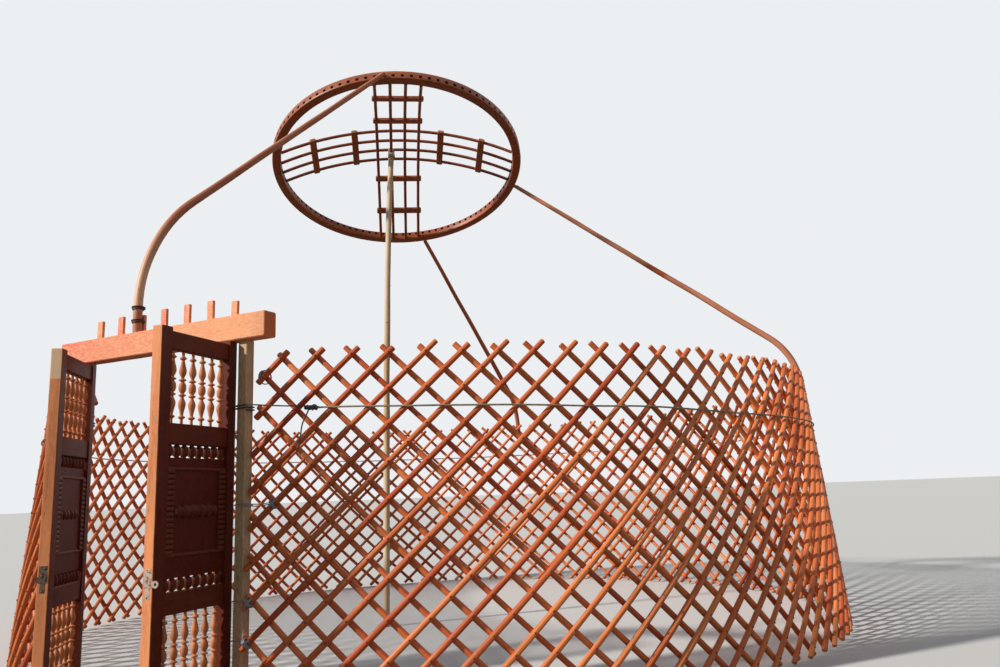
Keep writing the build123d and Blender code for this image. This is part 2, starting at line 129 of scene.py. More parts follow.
class Value:
    """A number or colour inside a shader, with arithmetic that adds Math nodes."""

    def __init__(self, nodes: Nodes, socket: bpy.types.NodeSocket) -> None:
        """Wrap one output socket."""
        self.nodes = nodes
        self.socket = socket

    def _math(self, operation: str, *others: Value | float) -> Value:
        """Add one Math node on this value."""
        inputs = dict(enumerate((self, *others)))
        return self.nodes.value("ShaderNodeMath", {"operation": operation}, inputs)

    def __add__(self, other: Value | float) -> Value:
        """Sum of two values."""
        return self._math("ADD", other)

    def __sub__(self, other: Value | float) -> Value:
        """Difference of two values."""
        return self._math("SUBTRACT", other)

    def __rsub__(self, other: float) -> Value:
        """Difference, with the number first."""
        return self._math("MULTIPLY_ADD", -1.0, other)

    def __mul__(self, other: Value | float) -> Value:
        """Product of two values."""
        return self._math("MULTIPLY", other)

    __radd__ = __add__
    __rmul__ = __mul__

    def wave(self) -> Value:
        """A wave between 0 and 1 that runs with the value, in radians."""
        return self._math("SINE") * 0.5 + 0.5

    def angle_from(self, other: Value) -> Value:
        """Angle whose tangent is this value over another."""
        return self._math("ARCTAN2", other)

    def hypot(self, other: Value) -> Value:
        """Length of the diagonal that this value and another span."""
        return (self * self + other * other)._math("SQRT")

    def larger(self, other: Value) -> Value:
        """The larger of two values."""
        return self._math("MAXIMUM", other)

    def between(self, low: float, high: float) -> Value:
        """A smooth step from 0 at one value to 1 at another."""
        settings = {"interpolation_type": "SMOOTHSTEP"}
        sockets = {"Value": self, "From Min": low, "From Max": high}
        return self.nodes.value("ShaderNodeMapRange", settings, sockets)


class Nodes:
    """The node tree of a material or a world."""

    def __init__(self, owner: bpy.types.Material | bpy.types.World) -> None:
        """Start with nothing in the tree."""
        self.owner = owner
        owner.use_nodes = True
        self.tree = owner.node_tree
        self.tree.nodes.clear()

    def node(
        self,
        kind: str,
        settings: dict[str, object] | None = None,
        sockets: dict[str | int, object] | None = None,
    ) -> bpy.types.Node:
        """Add a node.

        Args:
            kind: Blender's name of the node's type.
            settings: Its properties, set before its sockets.
            sockets: A value or a link for each socket, by name or number.

        Returns:
            The new node.
        """
        made = self.tree.nodes.new(kind)
        for key, value in (settings or {}).items():
            setattr(made, key, value)
        for key, value in (sockets or {}).items():
            if isinstance(value, Value):
                self.tree.links.new(value.socket, made.inputs[key])
            else:
                made.inputs[key].default_value = value
        return made

    def value(
        self,
        kind: str,
        settings: dict[str, object] | None = None,
        sockets: dict[str | int, object] | None = None,
        output: str | int = 0,
    ) -> Value:
        """Add a node, as node() does, and return one of its outputs."""
        return Value(self, self.node(kind, settings, sockets).outputs[output])

    def attribute(self, name: str) -> Value:
        """A vector that every vertex of a piece carries."""
        return self.value("ShaderNodeAttribute", {"attribute_name": name}, output="Vector")

    def parts(self, vector: Value) -> tuple[Value, ...]:
        """The three numbers of a vector."""
        made = self.node("ShaderNodeSeparateXYZ", sockets={0: vector})
        return tuple(Value(self, socket) for socket in made.outputs)

    def stretched(self, grain: Value, across: float, along: float) -> Value:
        """A place in the grain, scaled across it and along it."""
        sockets = {0: grain, 1: (across, across, along)}
        return self.value("ShaderNodeVectorMath", {"operation": "MULTIPLY"}, sockets)

    def noise(
        self, grain: Value, across: float, along: float, detail: float = 3, roughness: float = 0.55
    ) -> Value:
        """Smooth noise about 0.5 that is scaled across the grain and along it."""
        place = self.stretched(grain, across, along)
        sockets = {"Vector": place, "Scale": 1.0, "Detail": detail, "Roughness": roughness}
        return self.value("ShaderNodeTexNoise", sockets=sockets)

    def cells(self, grain: Value, across: float, along: float) -> Value:
        """Distance to the nearest of many points that are scattered in the grain."""
        sockets = {"Vector": self.stretched(grain, across, along), "Scale": 1.0}
        return self.value("ShaderNodeTexVoronoi", sockets=sockets, output="Distance")

    def mix(self, share: Value | float, first: Value | Colour, second: Value | Colour) -> Value:
        """A colour between two, by a share from 0 to 1."""
        sockets = {0: share}
        for place, colour in ((6, first), (7, second)):
            sockets[place] = colour if isinstance(colour, Value) else (*colour, 1.0)
        return self.value("ShaderNodeMix", {"data_type": "RGBA"}, sockets, output=2)

    def surface(
        self,
        colour: Value,
        roughness: Value | float,
        height: Value,
        depth: float,
        metallic: float = 0.0,
        coat: float = 0.0,
        shine: float = 0.5,
    ) -> bpy.types.Material:
        """Finish the material with its shader.

        Args:
            colour: The base colour.
            roughness: How rough the surface is, from 0 to 1.
            height: The relief of the surface, from 0 to 1.
            depth: How deep that relief is, in metres.
            metallic: 1 for bare metal.
            coat: How much varnish lies on the surface.
            shine: How strongly the surface reflects, 0.5 for most things.

        Returns:
            The finished material.
        """
        sockets = {
            "Base Color": colour,
            "Roughness": roughness,
            "Metallic": metallic,
            "Coat Weight": coat,
            "Coat Roughness": COAT_ROUGHNESS,
            "Specular IOR Level": shine,
            "Normal": self.value("ShaderNodeBump", sockets={"Distance": depth, "Height": height}),
        }
        shader = self.value("ShaderNodeBsdfPrincipled", sockets=sockets)
        self.node("ShaderNodeOutputMaterial", sockets={0: shader})
        return self.owner


# Finishes


@dataclass(frozen=True)
class Finish:
    """What a piece is made of.

    Attributes:
        name: The material's name.
        slot: Its material slot; not used.
    """

    name: str
    slot: str

    def material(self) -> bpy.types.Material:
        """Build the material."""
        raise NotImplementedError

    def started(self) -> tuple[Nodes, Value]:
        """The material's empty tree, and the grain of the piece that it is on."""
        nodes = Nodes(bpy.data.materials.new(self.name))
        return nodes, nodes.attribute("grain")


@dataclass(frozen=True)
class Wood(Finish):
    """A stained or raw wood whose grain follows each piece.

    Attributes:
        deep: Its colour where a piece's tone is 0.
        light: Its colour where a piece's tone is 1.
        streak: The colour of its dark grain.
        worn: Its colour on rubbed edges.
        cut: Its colour on end grain.
        worn_light: Its colour on rubbed edges where the tone is 1, if that differs.
        raw: Its colour where the tone is far over 1 and it was never stained.
        streaks: How much of the surface the dark grain takes, from 0 to 1.
        blotches: How uneven the stain is, from 0 to 1.
        saw_marks: How deep the marks across the grain are, from 0 to 1.
        roughness: How rough the surface is.
        coat: How much varnish lies on it.
        shine: How strongly it reflects.
        relief: Depth of the grain, in metres.
    """

    deep: Colour
    light: Colour
    streak: Colour
    worn: Colour
    cut: Colour
    worn_light: Colour | None = None
    raw: Colour = srgb(244, 216, 178)
    streaks: float = 0.5
    blotches: float = 0.5
    saw_marks: float = 0.0
    roughness: float = 0.55
    coat: float = 0.0
    shine: float = 0.25
    relief: float = 0.0008

    def material(self) -> bpy.types.Material:
        """Build the wood's material."""
        nodes, grain = self.started()
        tone, cut, wear = nodes.parts(nodes.attribute("look"))
        across_x, across_y, along = nodes.parts(grain)
        fibres = nodes.noise(grain, 260, 9, detail=5, roughness=0.65)
        bands = nodes.noise(grain, 55, 2.2)
        blotch = nodes.noise(grain, 16, 5)
        specks = nodes.cells(grain, 60, 14)
        scuffs = nodes.noise(grain, 110, 40, detail=6, roughness=0.7)
        stain = nodes.mix(tone + (blotch - 0.5) * self.blotches, self.deep, self.light)
        dark_grain = fibres.between(0.5, 0.72) * 0.6 + bands.between(0.5, 0.68) * 0.55
        stain = nodes.mix(dark_grain * self.streaks, stain, self.streak)
        stain = nodes.mix((1 - specks.between(0.05, 0.16)) * 0.5, stain, self.streak)
        rubbed = scuffs.between(0.55, 0.75) * 0.25 + wear * scuffs.between(0.35, 0.6) * 0.6
        worn = nodes.mix(tone, self.worn, self.worn_light or self.worn)
        stain = nodes.mix(rubbed, stain, worn)
        bare = (tone + (fibres - 0.5) * 0.9).between(1.45, 1.6)
        stain = nodes.mix(bare * (1 - fibres * 0.4), stain, self.raw)
        rings = (across_x.hypot(across_y) * 1900 + blotch * 9).wave()
        end_grain = nodes.mix(rings * 0.35 + fibres * 0.3, self.cut, self.streak)
        colour = nodes.mix(cut, stain, end_grain)
        saw = (along * 520 + across_x * 90 + blotch * 6).wave()
        height = fibres * 0.6 + bands * 0.4 + saw * self.saw_marks + scuffs * 0.2
        roughness = fibres * 0.25 + (self.roughness - 0.12) + cut * 0.2
        return nodes.surface(colour, roughness, height, self.relief, 0.0, self.coat, self.shine)


@dataclass(frozen=True)
class Cord(Finish):
    """A laid rope or cord of three strands.

    Attributes:
        colour: Its usual colour.
        dirt_and_groove_shade: Its colour where it is dirty, and the painted shade in the grooves.
        turns: Radians that its strands turn in a metre.
        relief: Depth of the grooves, in metres.
    """

    colour: Colour
    dirt_and_groove_shade: Colour
    turns: float = 160.0
    relief: float = 0.0012

    def material(self) -> bpy.types.Material:
        """Build the cord's material."""
        nodes, grain = self.started()
        across_x, across_y, along = nodes.parts(grain)
        lay = (across_y.angle_from(across_x) * 3 + along * self.turns).wave()
        fibres = nodes.noise(grain, 900, 300, detail=4)
        stains = nodes.noise(grain, 20, 7)
        # Painted shade: the grooves between the strands are darkened towards the dirt colour; the
        # stains below are real dirt.
        groove = 1 - lay.between(0.05, 0.45)
        colour = nodes.mix(groove * 0.75, self.colour, self.dirt_and_groove_shade)
        colour = nodes.mix(stains.between(0.45, 0.7) * 0.5, colour, self.dirt_and_groove_shade)
        height = lay * 0.8 + fibres * 0.3
        return nodes.surface(colour, fibres * 0.2 + 0.75, height, self.relief)


@dataclass(frozen=True)
class Hide(Finish):
    """Rawhide or leather of the knots and straps.

    Attributes:
        colour: Its usual colour.
        dark: Its colour in the creases, painted there as shade.
    """

    colour: Colour
    dark: Colour

    def material(self) -> bpy.types.Material:
        """Build the hide's material."""
        nodes, grain = self.started()
        creases = nodes.noise(grain, 240, 240, detail=5)
        pores = nodes.cells(grain, 900, 900)
        # Painted shade: the dark colour is laid where the crease noise is high.
        colour = nodes.mix(creases.between(0.4, 0.65), self.colour, self.dark)
        height = creases * 0.7 + pores * 0.3
        return nodes.surface(colour, creases * 0.3 + 0.45, height, 0.0006)


@dataclass(frozen=True)
class Iron(Finish):
    """Worn iron of the hasps.

    Attributes:
        bare: Its colour where it is rubbed bare.
        rust: Its colour where it is rusty.
    """

    bare: Colour
    rust: Colour

    def material(self) -> bpy.types.Material:
        """Build the iron's material."""
        nodes, grain = self.started()
        patches = nodes.noise(grain, 70, 70, detail=6, roughness=0.7)
        pits = nodes.noise(grain, 500, 500)
        rusty = patches.between(0.46, 0.6)
        colour = nodes.mix(rusty, self.bare, self.rust)
        return nodes.surface(colour, rusty * 0.3 + 0.5, pits, 0.0004, metallic=0.4)


RODS = Wood(
    name="stained_rods",
    slot="lattice_bars",
    deep=srgb(192, 80, 42),
    light=srgb(242, 144, 84),
    streak=srgb(112, 44, 26),
    worn=srgb(246, 180, 124),
    cut=srgb(226, 176, 124),
    streaks=0.55,
    blotches=1.1,
    roughness=0.5,
    coat=0.12,
)
# Painted light: the deep colour on the leaves' faces, rails, beads and panel is painted shade,
# darker than their stain, and the worn colour is kept dark on those faces for it; the light tone on
# the free edges is painted sunlight.
LEAF_WOOD = Wood(
    name="leaf_wood_with_painted_shade",
    slot="leaf_wood",
    deep=srgb(86, 28, 18),
    light=srgb(248, 160, 108),
    streak=srgb(50, 16, 12),
    worn=srgb(112, 40, 26),
    cut=srgb(204, 140, 96),
    worn_light=srgb(248, 160, 108),
    streaks=0.6,
    blotches=0.14,
    roughness=0.5,
    shine=0.15,
)
FRAME_WOOD = Wood(
    name="stained_frame_wood",
    slot="door_frame_wood",
    deep=srgb(166, 76, 46),
    light=srgb(206, 120, 78),
    streak=srgb(104, 44, 30),
    worn=srgb(214, 140, 96),
    cut=srgb(210, 150, 104),
    blotches=0.6,
)
LINTEL_WOOD = Wood(
    name="salmon_lintel_wood",
    slot="lintel_wood",
    deep=srgb(238, 94, 84),
    light=srgb(246, 162, 112),
    streak=srgb(196, 92, 60),
    worn=srgb(250, 190, 146),
    cut=srgb(240, 140, 92),
    streaks=0.28,
    blotches=0.7,
    saw_marks=0.5,
    roughness=0.62,
)
RAW_WOOD = Wood(
    name="raw_post_wood",
    slot="raw_post_wood",
    deep=srgb(176, 142, 104),
    light=srgb(218, 184, 142),
    streak=srgb(118, 86, 60),
    worn=srgb(232, 204, 166),
    cut=srgb(222, 196, 150),
    streaks=0.55,
    blotches=0.8,
    saw_marks=0.25,
    roughness=0.7,
)
CROWN_WOOD = Wood(
    name="oiled_crown_wood",
    slot="crown_wood",
    deep=srgb(118, 50, 28),
    light=srgb(182, 94, 54),
    streak=srgb(58, 24, 16),
    worn=srgb(198, 120, 76),
    cut=srgb(196, 134, 90),
    streaks=0.6,
    blotches=0.7,
    roughness=0.45,
    coat=0.15,
)
POLE_WOOD = Wood(
    name="stained_pole_wood",
    slot="roof_pole_wood",
    deep=srgb(182, 88, 50),
    light=srgb(242, 192, 156),
    streak=srgb(108, 48, 30),
    worn=srgb(228, 168, 118),
    cut=srgb(226, 182, 130),
    streaks=0.45,
    blotches=0.5,
    roughness=0.48,
    coat=0.1,
)
PEELED_WOOD = Wood(
    name="peeled_pole_wood",
    slot="peeled_wood",
    deep=srgb(206, 172, 132),
    light=srgb(234, 214, 182),
    streak=srgb(150, 112, 78),
    worn=srgb(240, 226, 200),
    cut=srgb(232, 206, 164),
    streaks=0.5,
    blotches=0.9,
    roughness=0.6,
)
ROPE = Cord("laid_rope", "rope", srgb(176, 160, 134), srgb(96, 82, 64))
DARK_CORD = Cord("dark_cord", "rope", srgb(92, 92, 98), srgb(40, 38, 42), 300.0, 0.0007)
GREY_CORD = Cord("grey_cord", "rope", srgb(172, 176, 190), srgb(112, 110, 118), 300.0, 0.0007)
PALE_CORD = Cord("pale_cord", "rope", srgb(214, 202, 178), srgb(132, 118, 96), 300.0, 0.0007)
RAWHIDE = Hide("rawhide", "rope", srgb(104, 60, 40), srgb(52, 30, 22))
KNOT_HIDE = Hide("knot_hide", "rope", srgb(150, 78, 48), srgb(92, 42, 28))
HASP_IRON = Iron("dusty_iron", "iron", srgb(188, 168, 154), srgb(138, 96, 74))
OLD_IRON = Iron("old_iron", "iron", srgb(112, 92, 80), srgb(70, 46, 36))


# Meshes

SectionPoint = tuple[float, float, float, float]


def round_section(radius: float, sides: int) -> list[SectionPoint]:
    """Points of a round section, each with its wear and its share of the edge's tone."""
    turns = (2 * math.pi * i / sides for i in range(sides))
    return [(radius * math.cos(a), radius * math.sin(a), 0.0, 0.0) for a in turns]


def plank_section(width: float, depth: float, bevel: float) -> list[SectionPoint]:
    """Points of an oblong section with worn corners, whose side towards +x is its edge.

    Args:
        width: Its size along x.
        depth: Its size along y.
        bevel: How much of each corner is cut off.

    Returns:
        The points, in order round the section.
    """
    x = width / 2
    y = depth / 2
    corners = (
        (x, y - bevel),
        (x - bevel, y),
        (bevel - x, y),
        (-x, y - bevel),
        (-x, bevel - y),
        (bevel - x, -y),
        (x - bevel, -y),
        (x, bevel - y),
    )
    return [(u, v, 1.0, 1.0 if u == x else 0.0) for u, v in corners]


def spline_points(controls: Sequence[Vector], steps: int) -> list[Vector]:
    """Points on the smooth line that a few control points steer.

    Args:
        controls: The control points.
        steps: How finely each stretch is divided.

    Returns:
        The points of a NURBS spline of order 3, from end to end.
    """
    curve = bpy.data.curves.new("route", "CURVE")
    curve.dimensions = "3D"
    curve.resolution_u = steps
    spline = curve.splines.new("NURBS")
    spline.points.add(len(controls) - 1)
    for point, control in zip(spline.points, controls):
        point.co = (*control, 1.0)
    spline.order_u = 3
    spline.use_endpoint_u = True
    holder = bpy.data.objects.new("route", curve)
    mesh = bpy.data.meshes.new_from_object(holder)
    points = [vertex.co.copy() for vertex in mesh.vertices]
    bpy.data.objects.remove(holder)
    bpy.data.curves.remove(curve)
    bpy.data.meshes.remove(mesh)
    return points


def helix(
    middle: Vector, axis: Vector, radius: float, turns: float, steps: int, length: float = 0.0
) -> list[Vector]:
    """Points that go round an axis, spread along it about the middle.

    Args:
        middle: Middle of the line that they make.
        axis: The direction of its axis.
        radius: Their distance from the axis.
        turns: How often they go round.
        steps: How many steps they go in.
        length: How far they go along the axis.

    Returns:
        The points, one more than the steps.
    """
    along = axis.normalized()
    side = along.orthogonal().normalized()
    other = along.cross(side)
    points = []
    for i in range(steps + 1):
        angle = 2 * math.pi * turns * i / steps
        spoke = side * math.cos(angle) + other * math.sin(angle)
        points.append(middle + spoke * radius + along * (length * (i / steps - 0.5)))
    return points


def mirrored_outline(
    half: Sequence[tuple[float, float]], radius: float, length: float
) -> list[tuple[float, float]]:
    """The outline of a turned piece whose two halves are alike.

    Args:
        half: Place and radius of each point up to the middle, as shares of the two sizes.
        radius: The piece's largest radius.
        length: The piece's length.

    Returns:
        Radius and place along the axis of each point.
    """
    outline = [(share * radius, place * length) for place, share in half]
    return outline + [(r, length - place) for r, place in reversed(outline[:-1])]


class Form:
    """The mesh of one piece, with its grain and its look on every vertex.

    The grain holds each vertex's place in the wood: two numbers across the grain and one
    along it. The look holds its tone, whether it is end grain, and its wear.
    """

    def __init__(self, name: str, seed: int = 1) -> None:
        """Start an empty form whose small differences come from a seed."""
        self.name = name
        self.chance = random.Random(seed)
        self.points: list[Vector] = []
        self.faces: list[tuple[int, ...]] = []
        self.grain: list[tuple[float, float, float]] = []
        self.look: list[tuple[float, float, float]] = []

    def ring(
        self,
        places: Iterable[Vector],
        grain: Iterable[tuple[float, float, float]],
        look: Iterable[tuple[float, float, float]],
    ) -> list[int]:
        """Add vertices.

        Args:
            places: Where they are.
            grain: The place of each in the wood.
            look: The tone, end grain and wear of each.

        Returns:
            Their numbers.
        """
        first = len(self.points)
        self.points.extend(places)
        self.grain.extend(grain)
        self.look.extend(look)
        return list(range(first, len(self.points)))

    def band(self, lower: Sequence[int], upper: Sequence[int]) -> None:
        """Join two closed rings of the same length with faces."""
        count = len(lower)
        for i in range(count):
            after = (i + 1) % count
            self.faces.append((lower[i], lower[after], upper[after], upper[i]))

    def skin(self, rings: Sequence[Sequence[int]]) -> None:
        """Join each ring to the next with faces."""
        for lower, upper in zip(rings, rings[1:]):
            self.band(lower, upper)

    def sweep(
        self,
        path: Sequence[Vector],
        section: Sequence[SectionPoint],
        scales: Sequence[float] | None = None,
        up: Vector | None = None,
        tone: Tone = 0.5,
        end_round: float = 0.0,
        shift: Vector | None = None,
        end_cut: float = 1.0,
        edge: Tone | None = None,
    ) -> None:
        """Draw a section along a path, with a cap of end grain at each end.

        Args:
            path: The points of the centre line.
            section: The section's points, about the centre line.
            scales: The section's size at each point, or 1 everywhere.
            up: The direction that the section's second axis starts in.
            tone: The wood's tone, or a function of the distance along the path.
            end_round: How far the ends are rounded over.
            shift: Where in the wood the piece lies, or anywhere.
            end_cut: How much the caps look like end grain, from 0 to 1.
            edge: The tone of the section's edge, where it isn't that of the rest.
        """
        line = list(path)
        sizes = list(scales) if scales else [1.0] * len(line)
        least_end = 0.2
        if end_round:
            reach = max(math.hypot(u, v) for u, v, _, _ in section)
            for end, inner in ((0, 1), (-1, -2)):
                along = (line[inner] - line[end]).normalized() * end_round
                pinched = sizes[end] * max(least_end, 1 - end_round / reach)
                corner = line[end] + along
                if end == 0:
                    line[:1] = [line[0], corner]
                    sizes[:1] = [pinched, sizes[0]]
                else:
                    line[-1:] = [corner, line[-1]]
                    sizes[-1:] = [sizes[-1], pinched]
        if shift is None:
            shift = stray(self.chance, 9.0)
        height = up or self.upright_to(line[1] - line[0])
        travelled = 0.0
        rings = []
        for i, place in enumerate(line):
            before = line[max(i - 1, 0)]
            after = line[min(i + 1, len(line) - 1)]
            tangent = (after - before).normalized()
            side = height.cross(tangent).normalized()
            height = tangent.cross(side)
            travelled += (place - before).length
            shade = tone_at(tone, travelled)
            rim = shade if edge is None else tone_at(edge, travelled)
            size = sizes[i]
            z = travelled + shift.z
            rings.append(
                self.ring(
                    [place + side * (u * size) + height * (v * size) for u, v, _, _ in section],
                    [(u * size + shift.x, v * size + shift.y, z) for u, v, _, _ in section],
                    [(shade + (rim - shade) * share, 0.0, wear) for _, _, wear, share in section],
                )
            )
        self.skin(rings)
        for ring, face_back in ((rings[0], True), (rings[-1], False)):
            self._cap(ring, face_back, end_cut)

    def _cap(self, ring: Sequence[int], face_back: bool, end_cut: float) -> None:
        """Close a ring with one face of its own vertices.

        Args:
            ring: The ring's vertices.
            face_back: Whether the face looks back along the path.
            end_cut: How much it looks like end grain, from 0 to 1.
        """
        cap = self.ring(
            [self.points[i].copy() for i in ring],
            [self.grain[i] for i in ring],
            [(self.look[i][0], end_cut, 0.0) for i in ring],
        )
        self.faces.append(tuple(reversed(cap)) if face_back else tuple(cap))

    @staticmethod
    def upright_to(run: Vector) -> Vector:
        """A direction that a path which sets off along run can start its section in."""
        return Z_AXIS if abs(run.normalized().z) < 0.9 else Y_AXIS

    def cord(
        self, line: Sequence[Vector], radius: float, sides: int = 7, up: Vector | None = None
    ) -> None:
        """Add a cord along a line, as sweep() does."""
        self.sweep(line, round_section(radius, sides), up=up, shift=Vector(), end_cut=0.0)

    def timber(
        self,
        start: Vector,
        end: Vector,
        width: float,
        depth: float,
        up: Vector,
        bevel: float = 0.003,
        tone: Tone = 0.5,
        wander: float = 0.0004,
        edge: Tone | None = None,
    ) -> None:
        """Add a straight piece of sawn wood with worn edges.

        Args:
            start: Middle of one end.
            end: Middle of the other end.
            width: Size across the piece, square to up.
            depth: Size along up.
            up: The direction of its depth.
            bevel: How much its edges are rounded.
            tone: The wood's tone.
            wander: How far its sides stray from straight.
            edge: The tone of one side, where it isn't that of the rest.
        """
        run = end - start
        step_length = 0.09 if edge is None else 0.02
        steps = max(2, int(run.length / step_length))
        path = []
        for i in range(steps + 1):
            step = stray(self.chance, wander)
            path.append(start + run * (i / steps) + (step if 0 < i < steps else Vector()))
        section = plank_section(width, depth, bevel)
        self.sweep(path, section, up=up, tone=tone, end_round=bevel, edge=edge)

    def turned(
        self,
        start: Vector,
        axis: Vector,
        profile: Sequence[tuple[float, float]],
        sides: int = 14,
        tone: Tone = 0.5,
        up: Vector | None = None,
    ) -> None:
        """Add a turned piece.

        Args:
            start: Where its axis starts.
            axis: The direction of its axis.
            profile: Radius and place along the axis of each point of its outline.
            sides: How many sides it is drawn with.
            tone: The wood's tone.
            up: The direction that its first side faces.
        """
        path = [start + axis * place for _, place in profile]
        self.sweep(path, round_section(1.0, sides), [radius for radius, _ in profile], up, tone)

    def nub(self, place: Vector, normal: Vector, radius: float, height: float) -> None:
        """Add a small domed knot on a surface.

        Args:
            place: Where it sits.
            normal: The direction that it stands out in.
            radius: Its radius.
            height: How far it stands out.
        """
        path = [place - normal * (height * 0.5), place + normal * (height * 0.35)]
        path += [place + normal * (height * 0.8), place + normal * height]
        sizes = [radius, radius * 0.96, radius * 0.66, radius * 0.15]
        self.sweep(path, round_section(1.0, 7), sizes, end_cut=0.0)

    def coil(self, middle: Vector, axis: Vector, radius: float, cord: float, turns: float) -> None:
        """Wind a cord round an axis, turn beside turn.

        Args:
            middle: Middle of the coil.
            axis: The direction of its axis.
            radius: Distance of the cord's line from the axis.
            cord: Radius of the cord.
            turns: How often it goes round.
        """
        steps = max(8, int(turns * 16))
        pitch = 2.1 * cord
        line = helix(middle, axis, radius, turns, steps, pitch * turns)
        self.cord(line, cord, up=axis.normalized())

    def washer(
        self, middle: Vector, axis: Vector, outer: float, inner: float, depth: float
    ) -> None:
        """Add a flat ring.

        Args:
            middle: Middle of the ring.
            axis: The direction of its axis.
            outer: Its outer radius.
            inner: The radius of its hole.
            depth: How thick it is.
        """
        sides = 20
        rise = axis.normalized() * (depth / 2)
        rings = []
        for radius, lift in ((outer, -1), (outer, 1), (inner, 1), (inner, -1)):
            places = helix(middle + rise * lift, axis, radius, 1, sides)[:-1]
            rings.append(self.ring(places, [tuple(p) for p in places], [(0.5, 0.0, 1.0)] * sides))
        self.skin(rings + rings[:1])

    def made(
        self,
        finish: Finish,
        body: Body,
        replaced: Sequence[str] = (),
        place: Matrix | None = None,
        sharp: float = 32.0,
    ) -> bpy.types.Object:
        """Turn the form into a piece of the model.

        Args:
            finish: What its surface is made of.
            body: The body that it moves with.
            replaced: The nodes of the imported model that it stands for.
            place: Where it goes, if it was drawn somewhere else.
            sharp: The angle from which an edge is shown sharp, in degrees.

        Returns:
            The new object.
        """
        mesh = bpy.data.meshes.new(self.name)
        mesh.from_pydata([tuple(p) for p in self.points], [], self.faces)
        if place is not None:
            mesh.transform(place)
        for name, values in (("grain", self.grain), ("look", self.look)):
            layer = mesh.attributes.new(name, "FLOAT_VECTOR", "POINT")
            layer.data.foreach_set("vector", [number for value in values for number in value])
        mesh.polygons.foreach_set("use_smooth", [True] * len(mesh.polygons))
        mesh.set_sharp_from_angle(angle=math.radians(sharp))
        mesh.materials.append(material_of(finish))
        made = linked(self.name, mesh)
        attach(made, body.value)
        if replaced:
            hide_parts(*replaced)
        triangles = sum(len(face) - 2 for face in self.faces)
        LOG.info("%s: %d triangles, on %s", self.name, triangles, body.value)
        return made


MATERIALS: dict[str, bpy.types.Material] = {}


def material_of(finish: Finish) -> bpy.types.Material:
    """The material of a finish, made once."""
    if finish.name not in MATERIALS:
        MATERIALS[finish.name] = finish.material()
    return MATERIALS[finish.name]


# Wall


